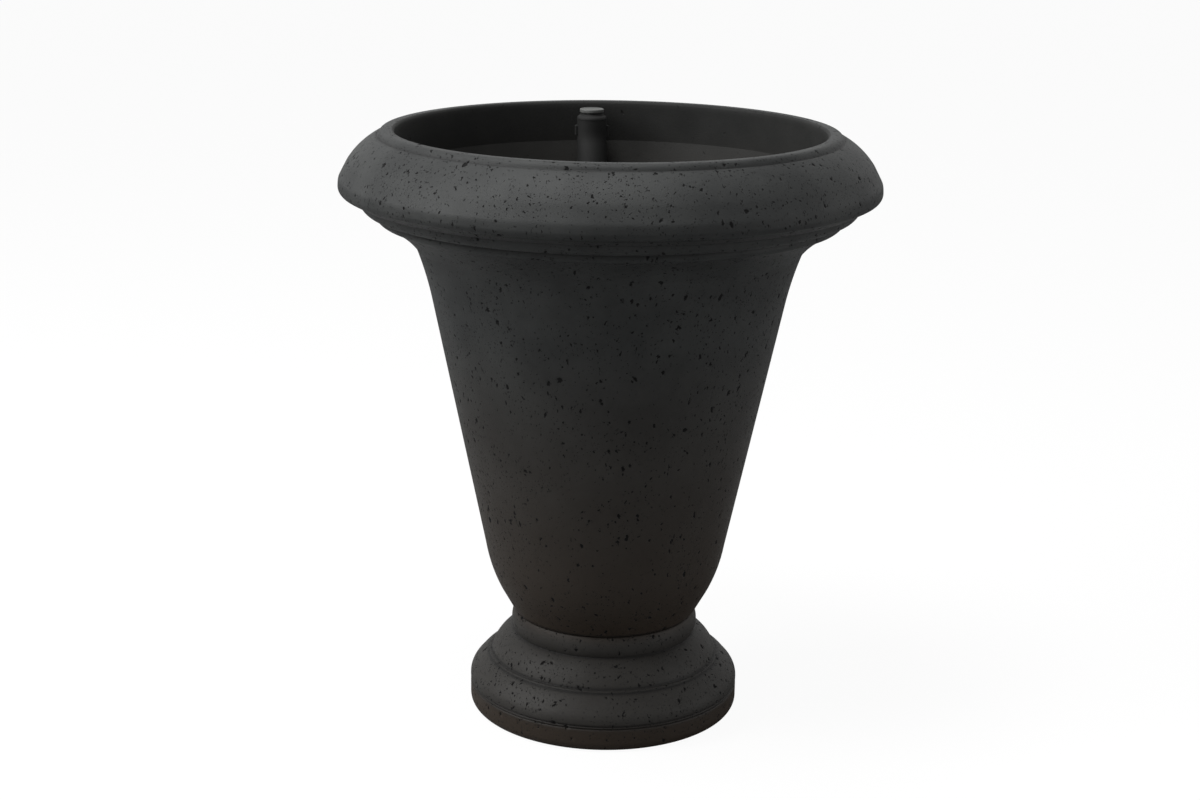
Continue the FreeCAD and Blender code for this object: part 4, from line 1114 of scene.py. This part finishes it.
@dataclass(frozen=True)
class Studio:
    """White floor, white surroundings for the camera and soft lamps.

    Attributes:
        softboxes: The lamps.
        ambient: The strength of the light from all round.
        floor_glow: How much of the floor's look is plain white.
        floor_white: The strength of that white.
        floor_grey: The floor's own grey, which takes the shadow.
        aim: Height at which the lamps are aimed, in metres.
    """

    softboxes: tuple[Softbox, ...] = (
        Softbox("overhead", (-0.65, -0.3, 3.0), 1.2, 82.0),
        Softbox("left", (-2.6, -0.4, 2.0), 1.4, 96.0),
        Softbox("left_front", (-2.2, -2.4, 1.0), 1.4, 15.0),
        Softbox("right_low", (2.4, -0.8, 0.6), 0.8, 16.0),
    )
    ambient: float = 0.19
    floor_glow: float = 0.86
    floor_white: float = 1.10
    floor_grey: float = 0.34
    aim: float = 0.35

    def floor_material(self) -> bpy.types.Material:
        """Mix a plain white glow, for the camera, into a pale matt floor."""
        made, shader = blank_material("studio_floor", 0.9, 0.0, 0.2)
        shader.inputs["Base Color"].default_value = (*[self.floor_grey] * 3, 1)
        tree = made.node_tree
        glow = add_node(tree, "ShaderNodeEmission")
        glow.inputs["Strength"].default_value = self.floor_white
        path = add_node(tree, "ShaderNodeLightPath")
        share = calculated(tree, "MULTIPLY", path.outputs["Is Camera Ray"],
                           self.floor_glow)
        mixed = add_node(tree, "ShaderNodeMixShader")
        tree.links.new(share, mixed.inputs[0])
        tree.links.new(shader.outputs[0], mixed.inputs[1])
        tree.links.new(glow.outputs[0], mixed.inputs[2])
        tree.links.new(mixed.outputs[0], tree.nodes["Material Output"].inputs[0])
        return made

    def build(self) -> None:
        """Lay the floor, light the surroundings and hang the lamps."""
        deselect_all()
        bpy.ops.mesh.primitive_plane_add(size=90)
        floor = bpy.context.active_object
        floor.name = "studio_floor"
        floor.data.materials.append(self.floor_material())
        world = bpy.data.worlds.new("studio")
        bpy.context.scene.world = world
        world.use_nodes = True
        tree = world.node_tree
        background = tree.nodes["Background"]
        background.inputs["Color"].default_value = (1, 1, 1, 1)
        path = add_node(tree, "ShaderNodeLightPath")
        strength = add_node(tree, "ShaderNodeMapRange")
        strength.inputs["To Min"].default_value = self.ambient
        strength.inputs["To Max"].default_value = 1.0
        seen = calculated(tree, "MAXIMUM", path.outputs["Is Camera Ray"],
                          path.outputs["Is Glossy Ray"])
        tree.links.new(seen, strength.inputs["Value"])
        tree.links.new(strength.outputs["Result"], background.inputs["Strength"])
        for softbox in self.softboxes:
            softbox.hang(Vector((0, 0, self.aim)))


@dataclass(frozen=True)
class PhotoCamera:
    """The camera of the photograph.

    Attributes:
        focus: Focal length in pixels of a 1200 pixel wide picture.
        distance: Distance from the planter's axis, in metres.
        height: Height above the floor, in metres.
        yaw: Turn to the right, in degrees.
        pitch: Tilt downwards, in degrees.
        roll: Turn about the view, in degrees.
        orbit: Turn of the whole view about the planter's axis, in degrees.
    """

    focus: float = 2043.0
    distance: float = 2.0907
    height: float = 0.9177
    yaw: float = -0.21
    pitch: float = 15.45
    roll: float = 0.805
    orbit: float = -6.33

    def build(self) -> None:
        """Set the camera up and make it the scene's own."""
        yaw, pitch, roll = (math.radians(a) for a in (self.yaw, self.pitch, self.roll))
        ahead = Vector((math.sin(yaw) * math.cos(pitch),
                        math.cos(yaw) * math.cos(pitch), -math.sin(pitch)))
        right = Vector((math.cos(yaw), -math.sin(yaw), 0.0))
        upward = right.cross(ahead)
        across = math.cos(roll) * right + math.sin(roll) * upward
        above = -math.sin(roll) * right + math.cos(roll) * upward
        turn = Matrix.Rotation(math.radians(self.orbit), 4, "Z")
        axes = Matrix((across, above, -ahead)).transposed().to_4x4()
        place = Matrix.Translation((0.0, -self.distance, self.height))
        data = bpy.data.cameras.new("photo_camera")
        data.sensor_fit = "HORIZONTAL"
        data.sensor_width = SENSOR_WIDTH
        data.lens = self.focus / PHOTO_WIDTH * SENSOR_WIDTH
        camera = bpy.data.objects.new("photo_camera", data)
        bpy.context.scene.collection.objects.link(camera)
        camera.matrix_world = turn @ place @ axes
        bpy.context.scene.camera = camera


# ------------------------------------------------------------------ the scene


def main() -> None:
    """Build the pieces in order, then the studio and the camera."""
    logging.basicConfig(level=logging.INFO, format="%(message)s")
    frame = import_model()
    patterns = Patterns(pitting_group("GeometryNodeTree"),
                        pitting_group("ShaderNodeTree"), weathering_group())
    outer, inner = OUTSIDE.material(patterns), INSIDE.material(patterns)
    fitted = {kind.value: FINISHES[kind].material(patterns) for kind in Fitting}
    builders: list[tuple[str, Callable[[], None]]] = [
        ("fitted parts", lambda: FittedParts().build(frame, fitted, outer)),
        ("bowl", lambda: Bowl().build(outer, inner, patterns.pressed)),
        ("foot", lambda: Foot().build(outer, inner, patterns.pressed)),
        ("fill column", lambda: FillColumn().build(
            fitted[Fitting.COLUMN.value], fitted[Fitting.CAP.value])),
        ("studio", lambda: Studio().build()),
        ("camera", lambda: PhotoCamera().build()),
    ]
    for name, build in builders:
        build()
        LOG.info("built the %s", name)
    bpy.context.scene.view_settings.view_transform = "Standard"


if __name__ == "__main__":
    main()
